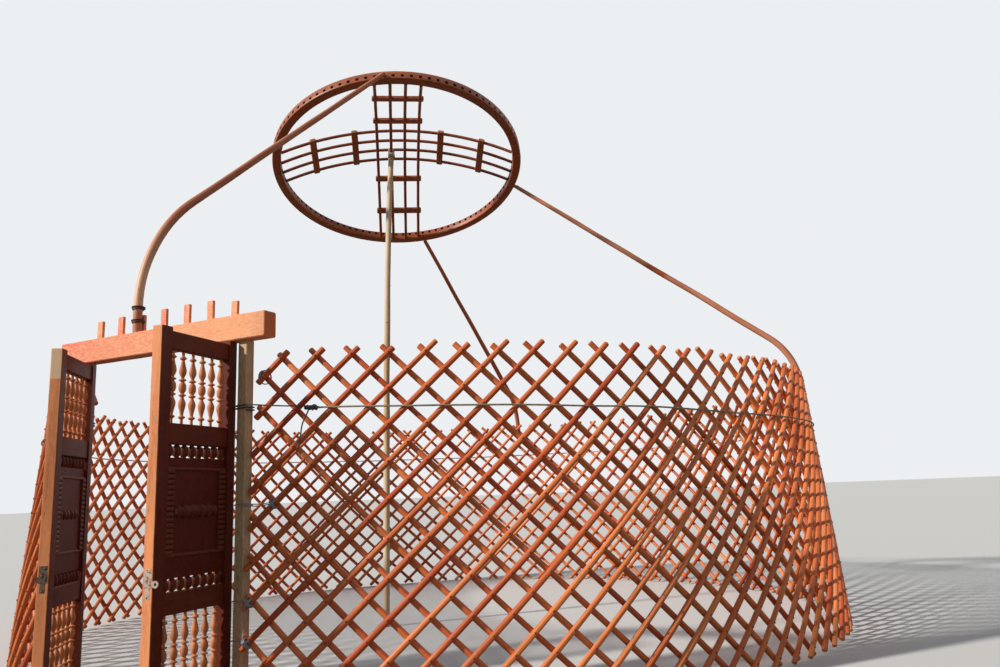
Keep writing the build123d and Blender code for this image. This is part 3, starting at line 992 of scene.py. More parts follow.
@dataclass
class Wall:
    """The round lattice wall of two layers of rods, tied where they cross.

    Attributes:
        centre_y: How far the wall's axis is behind the doorway.
        ground_radius: Its radius at the ground.
        top_radius: Its radius at the top.
        height: Its height.
        columns: Crossings in one row.
        rows: Rows of crossings.
        tip_reach: How far a rod runs past its last crossing, in height.
        end_reach: How far a rod runs past its last crossing beside a door post.
        post_outer: Outer side of a door post.
        post_back: Back of a door post.
        facets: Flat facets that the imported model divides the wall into.
        rod_radius: Radius of a rod.
        layer_gap: Half the distance between the rods of the two layers.
        shortest: The least height of a rod that is worth having.
        row_rise: Height from one row of crossings to the next.
        start_angle: Angle from the doorway to the wall's first column, in radians.
        column_angle: Angle from one column of crossings to the next, in radians.
        inset: How far the flat facets bring the wall's middle in.
    """

    centre_y: float = 2.42
    ground_radius: float = 2.55
    top_radius: float = 2.42
    height: float = 1.49
    columns: int = 90
    rows: int = 19
    tip_reach: float = 0.055
    end_reach: float = 0.035
    post_outer: float = 0.5303
    post_back: float = 0.0225
    facets: int = 30
    rod_radius: float = 0.0132
    layer_gap: float = 0.0112
    shortest: float = 0.06
    row_rise: float = field(init=False)
    start_angle: float = field(init=False)
    column_angle: float = field(init=False)
    inset: float = field(init=False)

    def __post_init__(self) -> None:
        """Work out the spacing of the crossings."""
        self.row_rise = (self.height - 2 * self.tip_reach) / (self.rows - 1)
        post_angle = math.atan(self.post_outer / (self.centre_y - self.post_back))
        self.start_angle = post_angle + self.end_reach / self.top_radius
        self.column_angle = 2 * (math.pi - self.start_angle) / self.columns
        half_facet = (math.pi - self.start_angle) / self.facets
        self.inset = self.ground_radius * (1 - math.cos(half_facet)) / 2

    def radius_at(self, height: float) -> float:
        """Radius of the wall's middle at a height."""
        share = height / self.height
        return self.ground_radius + (self.top_radius - self.ground_radius) * share - self.inset

    def outward(self, column: float) -> Vector:
        """The level direction out of the wall at a column, counted from the right post."""
        return level_at(self.start_angle - math.pi / 2 + column * self.column_angle)

    def point(self, column: float, height: float, proud: float = 0.0) -> Vector:
        """A point of the wall, and how far it stands out of the wall's middle."""
        level = self.outward(column) * (self.radius_at(height) + proud)
        return Vector((level.x, level.y + self.centre_y, height))

    def rod_column(self, start: float, side: int, height: float) -> float:
        """The column that a rod has reached at a height."""
        return start + side * (height - self.tip_reach) / (2 * self.row_rise)

    def rod_span(self, start: float, side: int) -> tuple[float, float]:
        """Where a rod starts and ends, in height, if it stops short of the door posts.

        Args:
            start: Its column in the lowest row.
            side: 1 if it climbs to the right as seen from outside, and -1 if to the left.

        Returns:
            Its lowest and its highest point.
        """
        shortened = 0.85
        reach = self.end_reach / (self.top_radius * self.column_angle) * shortened
        ends = []
        for limit in (-reach, self.columns + reach):
            ends.append(self.tip_reach + side * (limit - start) * 2 * self.row_rise)
        return max(0.0, min(ends)), min(self.height, max(ends))

    def starts(self, side: int) -> list[float]:
        """Where the rods of a layer stand, by their column in the lowest row."""
        spread = (i + 0.5 for i in range(-self.rows, self.columns + self.rows))
        spans = {start: self.rod_span(start, side) for start in spread}
        return [start for start, (low, high) in spans.items() if high - low > self.shortest]

    def rods(self, side: int) -> Form:
        """One layer of rods.

        Args:
            side: 1 for the outer layer, which climbs to the right as seen from outside,
                and -1 for the inner one.

        Returns:
            The form of the whole layer.
        """
        form = Form("wall_rods_outer" if side > 0 else "wall_rods_inner", seed=11 + side)
        chance = form.chance
        section = round_section(self.rod_radius, 10)
        ground_gap = (0.0112, 0.019)
        top_gap = (0.009, 0.034)
        post_gap = (0.0, 0.006)
        step = 0.06
        for start in self.starts(side):
            low, high = self.rod_span(start, side)
            at_top = high > self.height - 0.001
            low += chance.uniform(*(ground_gap if low < 0.001 else post_gap))
            high -= chance.uniform(*(top_gap if at_top else post_gap))
            steps = max(3, int((high - low) / step))
            thick = chance.uniform(0.93, 1.06)
            phase = chance.uniform(0, 50)
            sway = chance.uniform(0.5, 1.6)
            path = []
            sizes = []
            for i in range(steps + 1):
                height = low + (high - low) * i / steps
                drift = ripple(phase, height * 1.6) * 0.018 * sway
                bow = ripple(phase, height * 1.3, 3) * 0.003
                bulge = ripple(phase, height * 9, 7)
                column = self.rod_column(start, side, height) + drift
                path.append(self.point(column, height, side * self.layer_gap + bow))
                sizes.append(thick * (1.03 - 0.07 * i / steps + 0.06 * bulge))
            tone = chance.uniform(0.1, 0.9)
            outward = self.outward(self.rod_column(start, side, low))
            form.sweep(path, section, sizes, outward, tone, end_round=0.0025)
        return form

    def crossings(self) -> list[tuple[float, float]]:
        """Column and height of every crossing of the two layers."""
        found = []
        inner = set(self.starts(-1))
        for start in self.starts(1):
            for row in range(self.rows):
                other = start + row
                column = (start + other) / 2
                if other in inner and -0.01 <= column <= self.columns + 0.01:
                    found.append((column, self.tip_reach + row * self.row_rise))
        return found

    def knots(self) -> Form:
        """The rawhide knots on both sides of every crossing."""
        form = Form("lattice_knots", seed=5)
        stand_off = self.layer_gap + self.rod_radius * 0.93
        for column, height in self.crossings():
            for side in (1, -1):
                place = self.point(column, height, side * stand_off)
                size = form.chance.uniform(0.0042, 0.0062)
                form.nub(place, self.outward(column) * side, size, size * 0.7)
        return form

    def build(self) -> None:
        """Add the two layers of rods and their knots."""
        segments = [f"wall_lattice_{i + 1:02d}" for i in range(self.facets // 2)]
        self.rods(1).made(RODS, Body.FRAME, segments)
        self.rods(-1).made(RODS, Body.FRAME, segments)
        self.knots().made(KNOT_HIDE, Body.FRAME)


# Door frame


@dataclass
class DoorFrame:
    """Sill, posts and lintel, with the pegs in the lintel's top.

    Attributes:
        peg_tops: How far each peg stands out of the lintel, from the left.
        peg_spacing: Distance from peg to peg.
        peg_width: Width of a peg.
        peg_thickness: Thickness of a peg.
    """

    peg_tops: tuple[float, ...] = (0.094, 0.099, 0.088, 0.099, 0.1, 0.097, 0.076)
    peg_spacing: float = 0.145
    peg_width: float = 0.037
    peg_thickness: float = 0.014

    def member(self, node: str, name: str, finish: Finish, seed: int, tone: Tone) -> None:
        """Add a beam from left to right, or an upright post, in the place of its node.

        Args:
            node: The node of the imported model.
            name: Name of the piece.
            finish: What it is made of.
            seed: Seed of its small differences.
            tone: The wood's tone.
        """
        low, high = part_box(node)
        size = high - low
        upright = size.z > size.x
        run, across, up = (2, 0, 1) if upright else (0, 1, 2)
        start = (low + high) / 2
        end = start.copy()
        start[run] = low[run]
        end[run] = high[run]
        form = Form(name, seed)
        bevel = 0.003 if upright else 0.004
        wander = 0.0 if node == "door_sill" else 0.0006
        up_axis = Y_AXIS if upright else Z_AXIS
        form.timber(start, end, size[across], size[up], up_axis, bevel, tone, wander)
        form.made(finish, Body.FRAME, [node])

    def pegs(self) -> None:
        """Add the flat pegs, which differ in height."""
        foot_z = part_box("lintel_pegs")[0].z
        lintel_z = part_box("lintel")[1].z
        form = Form("lintel_peg_row", seed=23)
        for i, rise in enumerate(self.peg_tops):
            x = (i - (len(self.peg_tops) - 1) / 2) * self.peg_spacing
            head = Vector((x + form.chance.uniform(-0.002, 0.002), 0, lintel_z + rise))
            tone = form.chance.uniform(0.2, 0.7)
            size = (self.peg_width, self.peg_thickness)
            form.timber(Vector((x, 0, foot_z)), head, *size, Y_AXIS, bevel=0.002, tone=tone)
        form.made(LINTEL_WOOD, Body.FRAME, ["lintel_pegs"])

    def build(self) -> None:
        """Add the whole door frame."""
        self.member("door_sill", "door_sill_beam", FRAME_WOOD, 21, 0.4)
        faded = 0.8
        self.member(
            "lintel", "lintel_beam", LINTEL_WOOD, 22, lambda s: 0.1 + 0.8 * ramp(s, 0, faded)
        )
        self.member("left_post", "left_door_post", FRAME_WOOD, 24, 0.6)
        self.member("right_post", "right_door_post", RAW_WOOD, 25, 0.6)
        self.pegs()


# Door leaves


OutlineHalf = tuple[tuple[float, float], ...]

BALUSTER_HALF: OutlineHalf = (
    *((0.0, 0.4), (0.065, 0.4), (0.078, 0.72), (0.088, 0.92), (0.1, 0.92), (0.11, 0.6)),
    *((0.122, 0.42), (0.14, 0.46), (0.18, 0.62), (0.23, 0.86), (0.265, 0.98), (0.295, 0.95)),
    *((0.325, 0.74), (0.35, 0.5), (0.37, 0.42), (0.38, 0.66), (0.388, 0.96), (0.402, 0.96)),
    *((0.412, 0.56), (0.424, 0.46), (0.44, 0.74), (0.465, 0.94), (0.5, 1.0)),
)
BEAD_HALF: OutlineHalf = (
    *((0.0, 0.5), (0.08, 0.5), (0.13, 0.8), (0.25, 0.95), (0.4, 1.0), (0.5, 1.0)),
)
SPINDLE_HALF: OutlineHalf = (
    *((0.0, 0.5), (0.05, 0.82), (0.085, 0.82), (0.12, 0.5), (0.15, 0.62), (0.2, 1.0)),
    *((0.25, 0.96), (0.28, 0.68), (0.31, 0.72), (0.36, 1.0), (0.41, 0.96), (0.44, 0.68)),
    *((0.47, 0.84), (0.5, 0.92)),
)


@dataclass
class DoorLeaf:
    """One leaf of the door, with turned balusters and a carved middle panel.

    It is drawn with its pivot on the Z axis and its free edge towards +X.

    Attributes:
        side: "left" or "right".
        opening: How far it stands open, in degrees.
        pivot_x: Distance of its pivot from the middle of the doorway.
        pivot_y: How far its pivot is behind the origin.
        low: Height of its underside.
        high: Height of its top.
        thickness: Thickness of its stiles.
        stile_width: Width of a stile.
        free_edge: Distance from the pivot to its free edge.
        pin_radius: Radius of its pivot pins.
        pin_length: Length of its pivot pins.
        horn: How far the stiles stand above the top rail.
        rail_thickness: Thickness of a rail.
        outer_rail: Height of the top and the bottom rail.
        inner_rail: Height of the two rails between.
        baluster: Length of a baluster.
        slot: Height of a slot.
        baluster_radius: Radius of a baluster at its widest.
        balusters: Balusters in a row.
        slot_bars: Beads in a slot.
        slot_bead_radius: Radius of such a bead.
        board_thickness: Thickness of the middle panel.
        field_low: Height of the lower edge of the panel's field.
        field_high: Height of its upper edge.
        ledge_height: Height of the ledges at those edges.
        ledge_proud: How far they stand out of the panel.
        strip_width: Width of the ribbed strips at the field's sides.
        ribs: Ribs of a strip.
        rib_proud: How far a rib stands out of the panel.
        rib_valley: How far the groove between two ribs stands out.
        spindle_length: Length of the spindle across the outer face.
        spindle_radius: Radius of the spindle.
        spindle_proud: How far the spindle's axis stands out of the panel.
        hasp_middle: Height of the hasp.
        eye_reach: How far the middle of the right hasp's eye stands out of the outer face.
        strap_reach: How far the middle of the left hasp's eye is from the free edge.
        bare_top: How much of the left leaf's free edge was never stained.
    """

    side: str
    opening: float
    pivot_x: float = 0.451
    pivot_y: float = -0.0325
    low: float = 0.066
    high: float = 1.509
    thickness: float = 0.046
    stile_width: float = 0.062
    free_edge: float = 0.4475
    pin_radius: float = 0.009
    pin_length: float = 0.024
    horn: float = 0.014
    rail_thickness: float = 0.036
    outer_rail: float = 0.07
    inner_rail: float = 0.08
    baluster: float = 0.285
    slot: float = 0.05
    baluster_radius: float = 0.0148
    balusters: int = 6
    slot_bars: int = 8
    slot_bead_radius: float = 0.0165
    board_thickness: float = 0.02
    field_low: float = 0.648
    field_high: float = 0.968
    ledge_height: float = 0.012
    ledge_proud: float = 0.007
    strip_width: float = 0.042
    ribs: int = 16
    rib_proud: float = 0.01
    rib_valley: float = 0.005
    spindle_length: float = 0.236
    spindle_radius: float = 0.028
    spindle_proud: float = -0.003
    hasp_middle: float = 0.555
    eye_reach: float = 0.011
    strap_reach: float = 0.04
    bare_top: float = 0.137

    @property
    def outer(self) -> int:
        """The side of the leaf that is its outer face, along Y."""
        return 1 if self.side == "right" else -1

    @property
    def body(self) -> Body:
        """The body that the leaf is."""
        return Body(f"{self.side}_leaf")

    @property
    def place(self) -> Matrix:
        """Where the leaf goes, from where it is drawn."""
        if self.side == "left":
            return turned_about_z(-self.opening, Vector((-self.pivot_x, self.pivot_y, 0)))
        return turned_about_z(180 + self.opening, Vector((self.pivot_x, self.pivot_y, 0)))

    @property
    def panel(self) -> tuple[float, float]:
        """Left and right edge of the field between the stiles."""
        return self.stile_width - self.thickness / 2, self.free_edge - self.stile_width

    @property
    def middle(self) -> float:
        """Height of the leaf's middle."""
        return (self.low + self.high) / 2

    @property
    def upper_row(self) -> float:
        """Height at which the upper row of balusters stands."""
        return self.high - self.horn - self.outer_rail - self.baluster

    @property
    def upper_slot(self) -> float:
        """Height of the lower edge of the upper slot, where the panel ends."""
        return self.upper_row - self.inner_rail - self.slot

    def form(self, name: str, seed: int) -> Form:
        """Start the form of one of its pieces."""
        return Form(f"{self.side}_leaf_{name}", seed)

    def add(self, form: Form, node: str, finish: Finish = LEAF_WOOD) -> None:
        """Turn a form into the piece that stands for one of its nodes."""
        form.made(finish, self.body, [f"{self.side}_leaf_{node}"], self.place)

    def mirrored(self, low: float, height: float) -> list[tuple[float, float]]:
        """A band and its mirror image about the leaf's middle, as low and high edges."""
        other = 2 * self.middle - low - height
        return [(low, low + height), (other, other + height)]

    def stiles(self) -> None:
        """Add the two stiles and the pivot pins."""
        form = self.form("stile_pair", 31)
        half = self.thickness / 2
        heel_right = self.stile_width - half
        arc = 8
        section = []
        for i in range(arc + 1):
            turn = math.pi / 2 + math.pi * i / arc
            section.append((half * math.cos(turn), half * math.sin(turn), 0.3, 0.0))
        section += [(heel_right, -half, 1.0, 0.0), (heel_right, half, 1.0, 0.0)]
        foot = Vector((0, 0, self.low))
        head = Vector((0, 0, self.high))
        steps = 16
        path = [foot.lerp(head, i / steps) for i in range(steps + 1)]
        # Painted light: the stile faces take the deep tone as painted shade, and the free edge a
        # light tone as painted sunlight.
        tone = 0.02
        form.sweep(path, section, up=Y_AXIS, tone=tone)
        shift = X_AXIS * (self.free_edge - self.stile_width / 2)
        size = (self.stile_width, self.thickness)
        form.timber(foot + shift, head + shift, *size, Y_AXIS, tone=tone, edge=self.bare_top_and_sunlit_edge_tone)
        pin = round_section(self.pin_radius, 14)
        for start, way in ((head, 1), (foot, -1)):
            end = start + Z_AXIS * (way * self.pin_length)
            line = [start, start.lerp(end, 0.5), end]
            form.sweep(line, pin, up=Y_AXIS, tone=0.6, end_round=0.002)
        self.add(form, "stiles")

    def bare_top_and_sunlit_edge_tone(self, travelled: float) -> float:
        """Tone of the free edge: the stain stops short of the left one's top, and below that the
        edge gets a light tone as painted sunlight.
        """
        if self.side == "left" and travelled > self.high - self.low - self.bare_top:
            return 2.2
        return 0.96 + 0.1 * math.sin(travelled * 9) * math.sin(travelled * 4 + 1)

    def rails(self) -> None:
        """Add the four rails."""
        form = self.form("rail_set", 32)
        left, right = self.panel
        bands = self.mirrored(self.upper_row + self.baluster, self.outer_rail)
        bands += self.mirrored(self.upper_row - self.inner_rail, self.inner_rail)
        for low, high in bands:
            z = (low + high) / 2
            size = (self.rail_thickness, high - low)
            # The rails take the deep tone, painted shade.
            form.timber(Vector((left, 0, z)), Vector((right, 0, z)), *size, Z_AXIS, tone=0.04)
        self.add(form, "rails")

    def turned_work(self) -> None:
        """Add the balusters and the beads of the slots, in two mirrored rows of each."""
        form = self.form("turned_work", 33)
        left, right = self.panel
        baluster = (BALUSTER_HALF, self.baluster_radius, self.baluster)
        bead = (BEAD_HALF, self.slot_bead_radius, self.slot)
        for kind, low, count, sides in (
            (baluster, self.upper_row, self.balusters, 14),
            (bead, self.upper_slot, self.slot_bars, 12),
        ):
            shape = mirrored_outline(*kind)
            for foot, _ in self.mirrored(low, kind[-1]):
                for i in range(count):
                    # The beads of the slots take the deep tone, painted shade.
                    tone = form.chance.uniform(0.6, 0.85) if kind is baluster else 0.05
                    start = Vector((left + (right - left) / count * (i + 0.5), 0, foot))
                    form.turned(start, Z_AXIS, shape, sides, tone, Y_AXIS)
        self.add(form, "balusters")

    def board(self) -> None:
        """Add the middle panel, with a ledge above and below its field and a spindle outside."""
        form = self.form("panel", 34)
        left, right = self.panel
        x = (left + right) / 2
        start = Vector((x, 0, 2 * self.middle - self.upper_slot))
        end = Vector((x, 0, self.upper_slot))
        # The panel takes the deep tone, painted shade.
        form.timber(start, end, right - left, self.board_thickness, Y_AXIS, bevel=0.002, tone=0.0)
        size = (self.board_thickness + 2 * self.ledge_proud, self.ledge_height)
        for z in (self.field_low, self.field_high):
            form.timber(Vector((left, 0, z)), Vector((right, 0, z)), *size, Z_AXIS, tone=0.1)
        for face in (1, -1):
            for x in (left, right - self.strip_width):
                self.ribbed_strip(form, x, face)
        self.spindle(form)
        self.add(form, "board")

    def ribbed_strip(self, form: Form, left: float, face: int) -> None:
        """Carve a row of rounded ribs up one side of the field.

        Args:
            form: The panel's form.
            left: The strip's left edge.
            face: 1 for the face towards +Y and -1 for the other.
        """
        right = left + self.strip_width
        base = self.board_thickness / 2
        pitch = (self.field_high - self.field_low) / self.ribs
        bevel = 0.002
        steps = 6
        apart = 3
        rings = []
        for i in range(self.ribs * steps + 1):
            z = self.field_low + pitch * i / steps
            swell = math.sqrt(max(0.0, math.sin(math.pi * (i % steps) / steps)))
            y = base + self.rib_valley + (self.rib_proud - self.rib_valley) * swell
            corners = [(left, 0.0), (right, 0.0), (right, y - bevel), (right - bevel, y)]
            corners += [(left + bevel, y), (left, y - bevel)]
            places = [Vector((u, face * v, z)) for u, v in corners]
            grain = [(u, v * face, z + apart) for u, v in corners]
            # Painted shade: the tone drops in the grooves between the ribs; the wear on the crests
            # is real rubbing.
            look = [(0.12 * swell - 0.02, 0.0, 0.5 * swell)] * len(corners)
            rings.append(form.ring(places, grain, look))
        form.skin(rings if face > 0 else rings[::-1])

    def spindle(self, form: Form) -> None:
        """Lay the turned spindle across the outer face of the field."""
        left, right = self.panel
        shape = mirrored_outline(SPINDLE_HALF, self.spindle_radius, self.spindle_length)
        x = (left + right - self.spindle_length) / 2
        y = self.outer * (self.board_thickness / 2 + self.spindle_proud)
        z = (self.field_low + self.field_high) / 2
        form.turned(Vector((x, y, z)), X_AXIS, shape, sides=16, tone=0.08, up=Z_AXIS)

    def hasp(self) -> None:
        """Add the iron hasp: a plate in the free edge, and a lug or a strap with an eye."""
        form = self.form("hasp_plate", 35)
        right = self.side == "right"
        inset = 0.0012
        bevel = 0.0008
        narrow, wide = 0.022, 0.034
        thin, thick = 0.0026, 0.0034
        middle = Vector((self.free_edge - inset, 0, self.hasp_middle))
        half_height = Z_AXIS * 0.054
        step = middle - Z_AXIS * 0.012
        form.timber(middle - half_height, step, narrow, thin, X_AXIS, bevel)
        form.timber(step, middle + half_height, wide, thick, X_AXIS, bevel)
        fold = Y_AXIS * (wide / 2)
        form.timber(step + fold, step - fold, 0.004, 0.005, X_AXIS, bevel=0.001)
        outside = Y_AXIS * self.outer
        half_leaf = self.thickness / 2
        if right:
            eye = middle + outside * (half_leaf + self.eye_reach)
            root = middle + outside * 0.012
            flat = X_AXIS
        else:
            face = outside * (half_leaf + 0.0018)
            root = middle + face + X_AXIS * inset
            eye = root - X_AXIS * self.strap_reach
            flat = Y_AXIS
            form.timber(middle, middle + face, narrow, thick, X_AXIS, bevel)
        form.timber(root, eye.lerp(root, 0.3), narrow, 0.0032, flat, bevel)
        form.washer(eye, flat, outer=0.0135, inner=0.0058, depth=thick)
        nails = ((0.004, 0.044), (-0.006, 0.014), (-0.002, -0.046))
        for y, z in nails:
            form.nub(middle + Vector((inset, y, z)), X_AXIS, radius=0.0042, height=0.0028)
        self.add(form, "hasp", HASP_IRON if right else OLD_IRON)

    def build(self) -> None:
        """Add the whole leaf."""
        self.stiles()
        self.rails()
        self.turned_work()
        self.board()
        self.hasp()


# Crown


@dataclass
class Crown:
    """The bent crown ring with its sockets and crossing bars.

    It is drawn level about the Z axis, with its bars across along X, and then tilted.

    Attributes:
        centre: Middle of the rim.
        tilt: How far it is tipped, in degrees.
        low_side: The direction of its low side, in degrees.
        turn: The direction of its bars across, in degrees.
        outer: Outer radius of the rim.
        width: Width of the rim's section.
        depth: Height of the rim's section.
        sockets: Number of sockets.
        socket_size: Side of a socket.
        socket_rise: How far a socket rises inwards, in degrees.
        dome_rise: Rise of the upper bars above the rim's middle.
        bar_radius: Radius of a bent bar.
        bar_spacing: Distance from bar to bar.
        bars: Bars in a set.
        tie_places: Distances of the ties from the middle.
        tie_size: Width and thickness of a tie.
        tie_overhang: How far a tie runs past the outer bars.
    """

    centre: Vector = field(default_factory=lambda: Vector((-0.134, 2.152, 3.185)))
    tilt: float = 18.8
    low_side: float = 127.0
    turn: float = 34.2
    outer: float = 0.89
    width: float = 0.06
    depth: float = 0.066
    sockets: int = 96
    socket_size: float = 0.02
    socket_rise: float = 20.0
    dome_rise: float = 0.215
    bar_radius: float = 0.011
    bar_spacing: float = 0.1
    bars: int = 4
    tie_places: tuple[float, ...] = (0.31, 0.6)
    tie_size: tuple[float, float] = (0.045, 0.026)
    tie_overhang: float = 0.012

    @property
    def normal(self) -> Vector:
        """The direction of the crown's axis."""
        tilt = math.radians(self.tilt)
        side = math.radians(self.low_side)
        return level_at(side) * math.sin(tilt) + Z_AXIS * math.cos(tilt)

    @property
    def place(self) -> Matrix:
        """Where the crown goes, from where it is drawn."""
        normal = self.normal
        along = level_at(math.radians(self.turn))
        along.z = -(normal.x * along.x + normal.y * along.y) / normal.z
        along.normalize()
        turned = Matrix((along, normal.cross(along), normal)).transposed().to_4x4()
        return Matrix.Translation(self.centre) @ turned

    @property
    def inner(self) -> float:
        """Inner radius of the rim."""
        return self.outer - self.width

    @property
    def dome_radius(self) -> float:
        """Radius of the arc of a bent bar."""
        return (self.inner**2 + self.dome_rise**2) / (2 * self.dome_rise)

    def dome_drop(self, distance: float) -> float:
        """How far a bent bar has fallen at a distance from its middle."""
        return self.dome_radius - math.sqrt(self.dome_radius**2 - distance**2)

    @property
    def front_rise(self) -> float:
        """Rise of the lower set of bars."""
        outer_bar = self.bar_spacing * (self.bars - 1) / 2
        clear = self.dome_drop(outer_bar) - self.dome_drop(self.bar_spacing / 2)
        return self.dome_rise - 2 * self.bar_radius - HAIR_GAP - clear

    @property
    def socket_drop(self) -> float:
        """How far a socket's mouth is below the rim's middle."""
        return self.width / 2 * math.tan(math.radians(self.socket_rise))

    def socket_line(self, number: int) -> tuple[Vector, Vector]:
        """Mouth and outward direction of a socket, in the model's frame."""
        level = level_at(math.radians((number + 0.5) * 360 / self.sockets))
        rise = math.radians(self.socket_rise)
        outward = level * math.cos(rise) - Z_AXIS * math.sin(rise)
        mouth = level * self.outer - Z_AXIS * self.socket_drop
        return self.place @ mouth, self.place.to_3x3() @ outward

    def rim_outline(self) -> list[tuple[float, float, float]]:
        """The rim's section: distance from the axis, height and wear of each point.

        Returns:
            The outer side and the top, and then the same half turned about the middle. The
            edges from the first point and from the ninth are where the sockets open.
        """
        drop = self.socket_drop
        tall = self.socket_size / 2 / math.cos(math.radians(self.socket_rise))
        half = self.depth / 2
        soft = 0.011
        cut = soft * 0.3
        x = self.outer
        points = [
            (x, -drop - tall, 0.3),
            (x, -drop + tall, 0.3),
            (x, half - soft, 0.6),
            (x - cut, half - cut, 1.0),
            (x - soft, half, 0.6),
            (self.inner + soft, half, 0.6),
            (self.inner + cut, half - cut, 1.0),
            (self.inner, half - soft, 0.6),
        ]
        return points + [(self.inner + self.outer - x, -z, wear) for x, z, wear in points]

    def rim(self) -> None:
        """Add the rim, with every socket cut right through it."""
        form = Form("crown_rim", seed=41)
        outline = self.rim_outline()
        look = [(0.5, 0.0, wear) for _, _, wear in outline]
        half_mouth = self.socket_size / 2 / self.outer
        rings = []
        for number in range(self.sockets):
            middle = (number + 0.5) * 2 * math.pi / self.sockets
            for angle in (middle - half_mouth, middle + half_mouth):
                level = level_at(angle)
                along = angle * (self.outer - self.width / 2)
                places = [level * x + Z_AXIS * z for x, z, _ in outline]
                rings.append(form.ring(places, [(x, z, along) for x, z, _ in outline], look))
        count = len(outline)
        for i, ring in enumerate(rings):
            after = rings[(i + 1) % len(rings)]
            holds_socket = i % 2 == 0
            for j in range(count):
                k = (j + 1) % count
                if not (holds_socket and j in (0, 8)):
                    form.faces.append((ring[j], after[j], after[k], ring[k]))
            if holds_socket:
                mouth = (ring[0], after[0], after[1], ring[1])
                inside = (ring[9], after[9], after[8], ring[8])
                self._socket_walls(form, mouth, inside)
        halves = ["crown_rim_back", "crown_rim_front"]
        form.made(CROWN_WOOD, Body.FRAME, halves, self.place, sharp=40)

    def _socket_walls(self, form: Form, mouth: Sequence[int], inside: Sequence[int]) -> None:
        """Add the four walls of a socket, given a darker tone than the rim as painted shade inside
        the socket.

        Args:
            form: The rim's form.
            mouth: The corners of the socket's outer end.
            inside: The corners of its inner end.
        """
        ends = []
        for corners in (mouth, inside):
            places = [form.points[i].copy() for i in corners]
            # Painted shade: the socket walls take a tone far below the rim's.
            ends.append(form.ring(places, [form.grain[i] for i in corners], [(-0.6, 0.0, 0.0)] * 4))
        form.band(ends[1], ends[0])

    def bent_bars(self, name: str, node: str, rise: float, quarter: float) -> None:
        """Add a set of bent bars and the ties that they pass through.

        Args:
            name: Name of the piece.
            node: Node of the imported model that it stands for.
            rise: Rise of the bars' middle.
            quarter: How far the set is turned, in degrees.
        """
        form = Form(name, seed=42 + int(quarter))
        steps = 28
        for i in range(self.bars):
            y = (i - (self.bars - 1) / 2) * self.bar_spacing
            reach = math.sqrt((self.inner - 0.001) ** 2 - y * y)
            path = []
            sizes = []
            for k in range(steps + 1):
                x = -reach + 2 * reach * k / steps
                path.append(Vector((x, y, rise - self.dome_drop(abs(x)))))
                sizes.append(1 + 0.05 * ripple(i * 9.0, k * 0.6, quarter))
            tone = form.chance.uniform(0.3, 0.8)
            form.sweep(path, round_section(self.bar_radius, 12), sizes, Y_AXIS, tone)
        self.ties(form, rise)
        turned = self.place @ Matrix.Rotation(math.radians(quarter), 4, "Z")
        form.made(CROWN_WOOD, Body.FRAME, [node], turned)

    def ties(self, form: Form, rise: float) -> None:
        """Add the flat ties across a set of bars.

        Args:
            form: The form of the set.
            rise: Rise of the bars' middle.
        """
        reach = self.bar_spacing * (self.bars - 1) / 2 + self.bar_radius + self.tie_overhang
        half = Y_AXIS * reach
        bevel = 0.005
        for place in self.tie_places:
            for side in (-1, 1):
                slope = math.atan(place / (self.dome_radius - self.dome_drop(place)))
                up = Vector((side * math.sin(slope), 0, math.cos(slope)))
                middle = Vector((side * place, 0, rise - self.dome_drop(place)))
                tone = form.chance.uniform(0.1, 0.5)
                form.timber(middle - half, middle + half, *self.tie_size, up, bevel, tone)

    def build(self) -> None:
        """Add the whole crown."""
        self.rim()
        self.bent_bars("crown_bars_left_right", "crown_bars_across", self.dome_rise, 0.0)
        self.bent_bars("crown_bars_front_back", "crown_bars_front_to_back", self.front_rise, 90.0)


# Poles


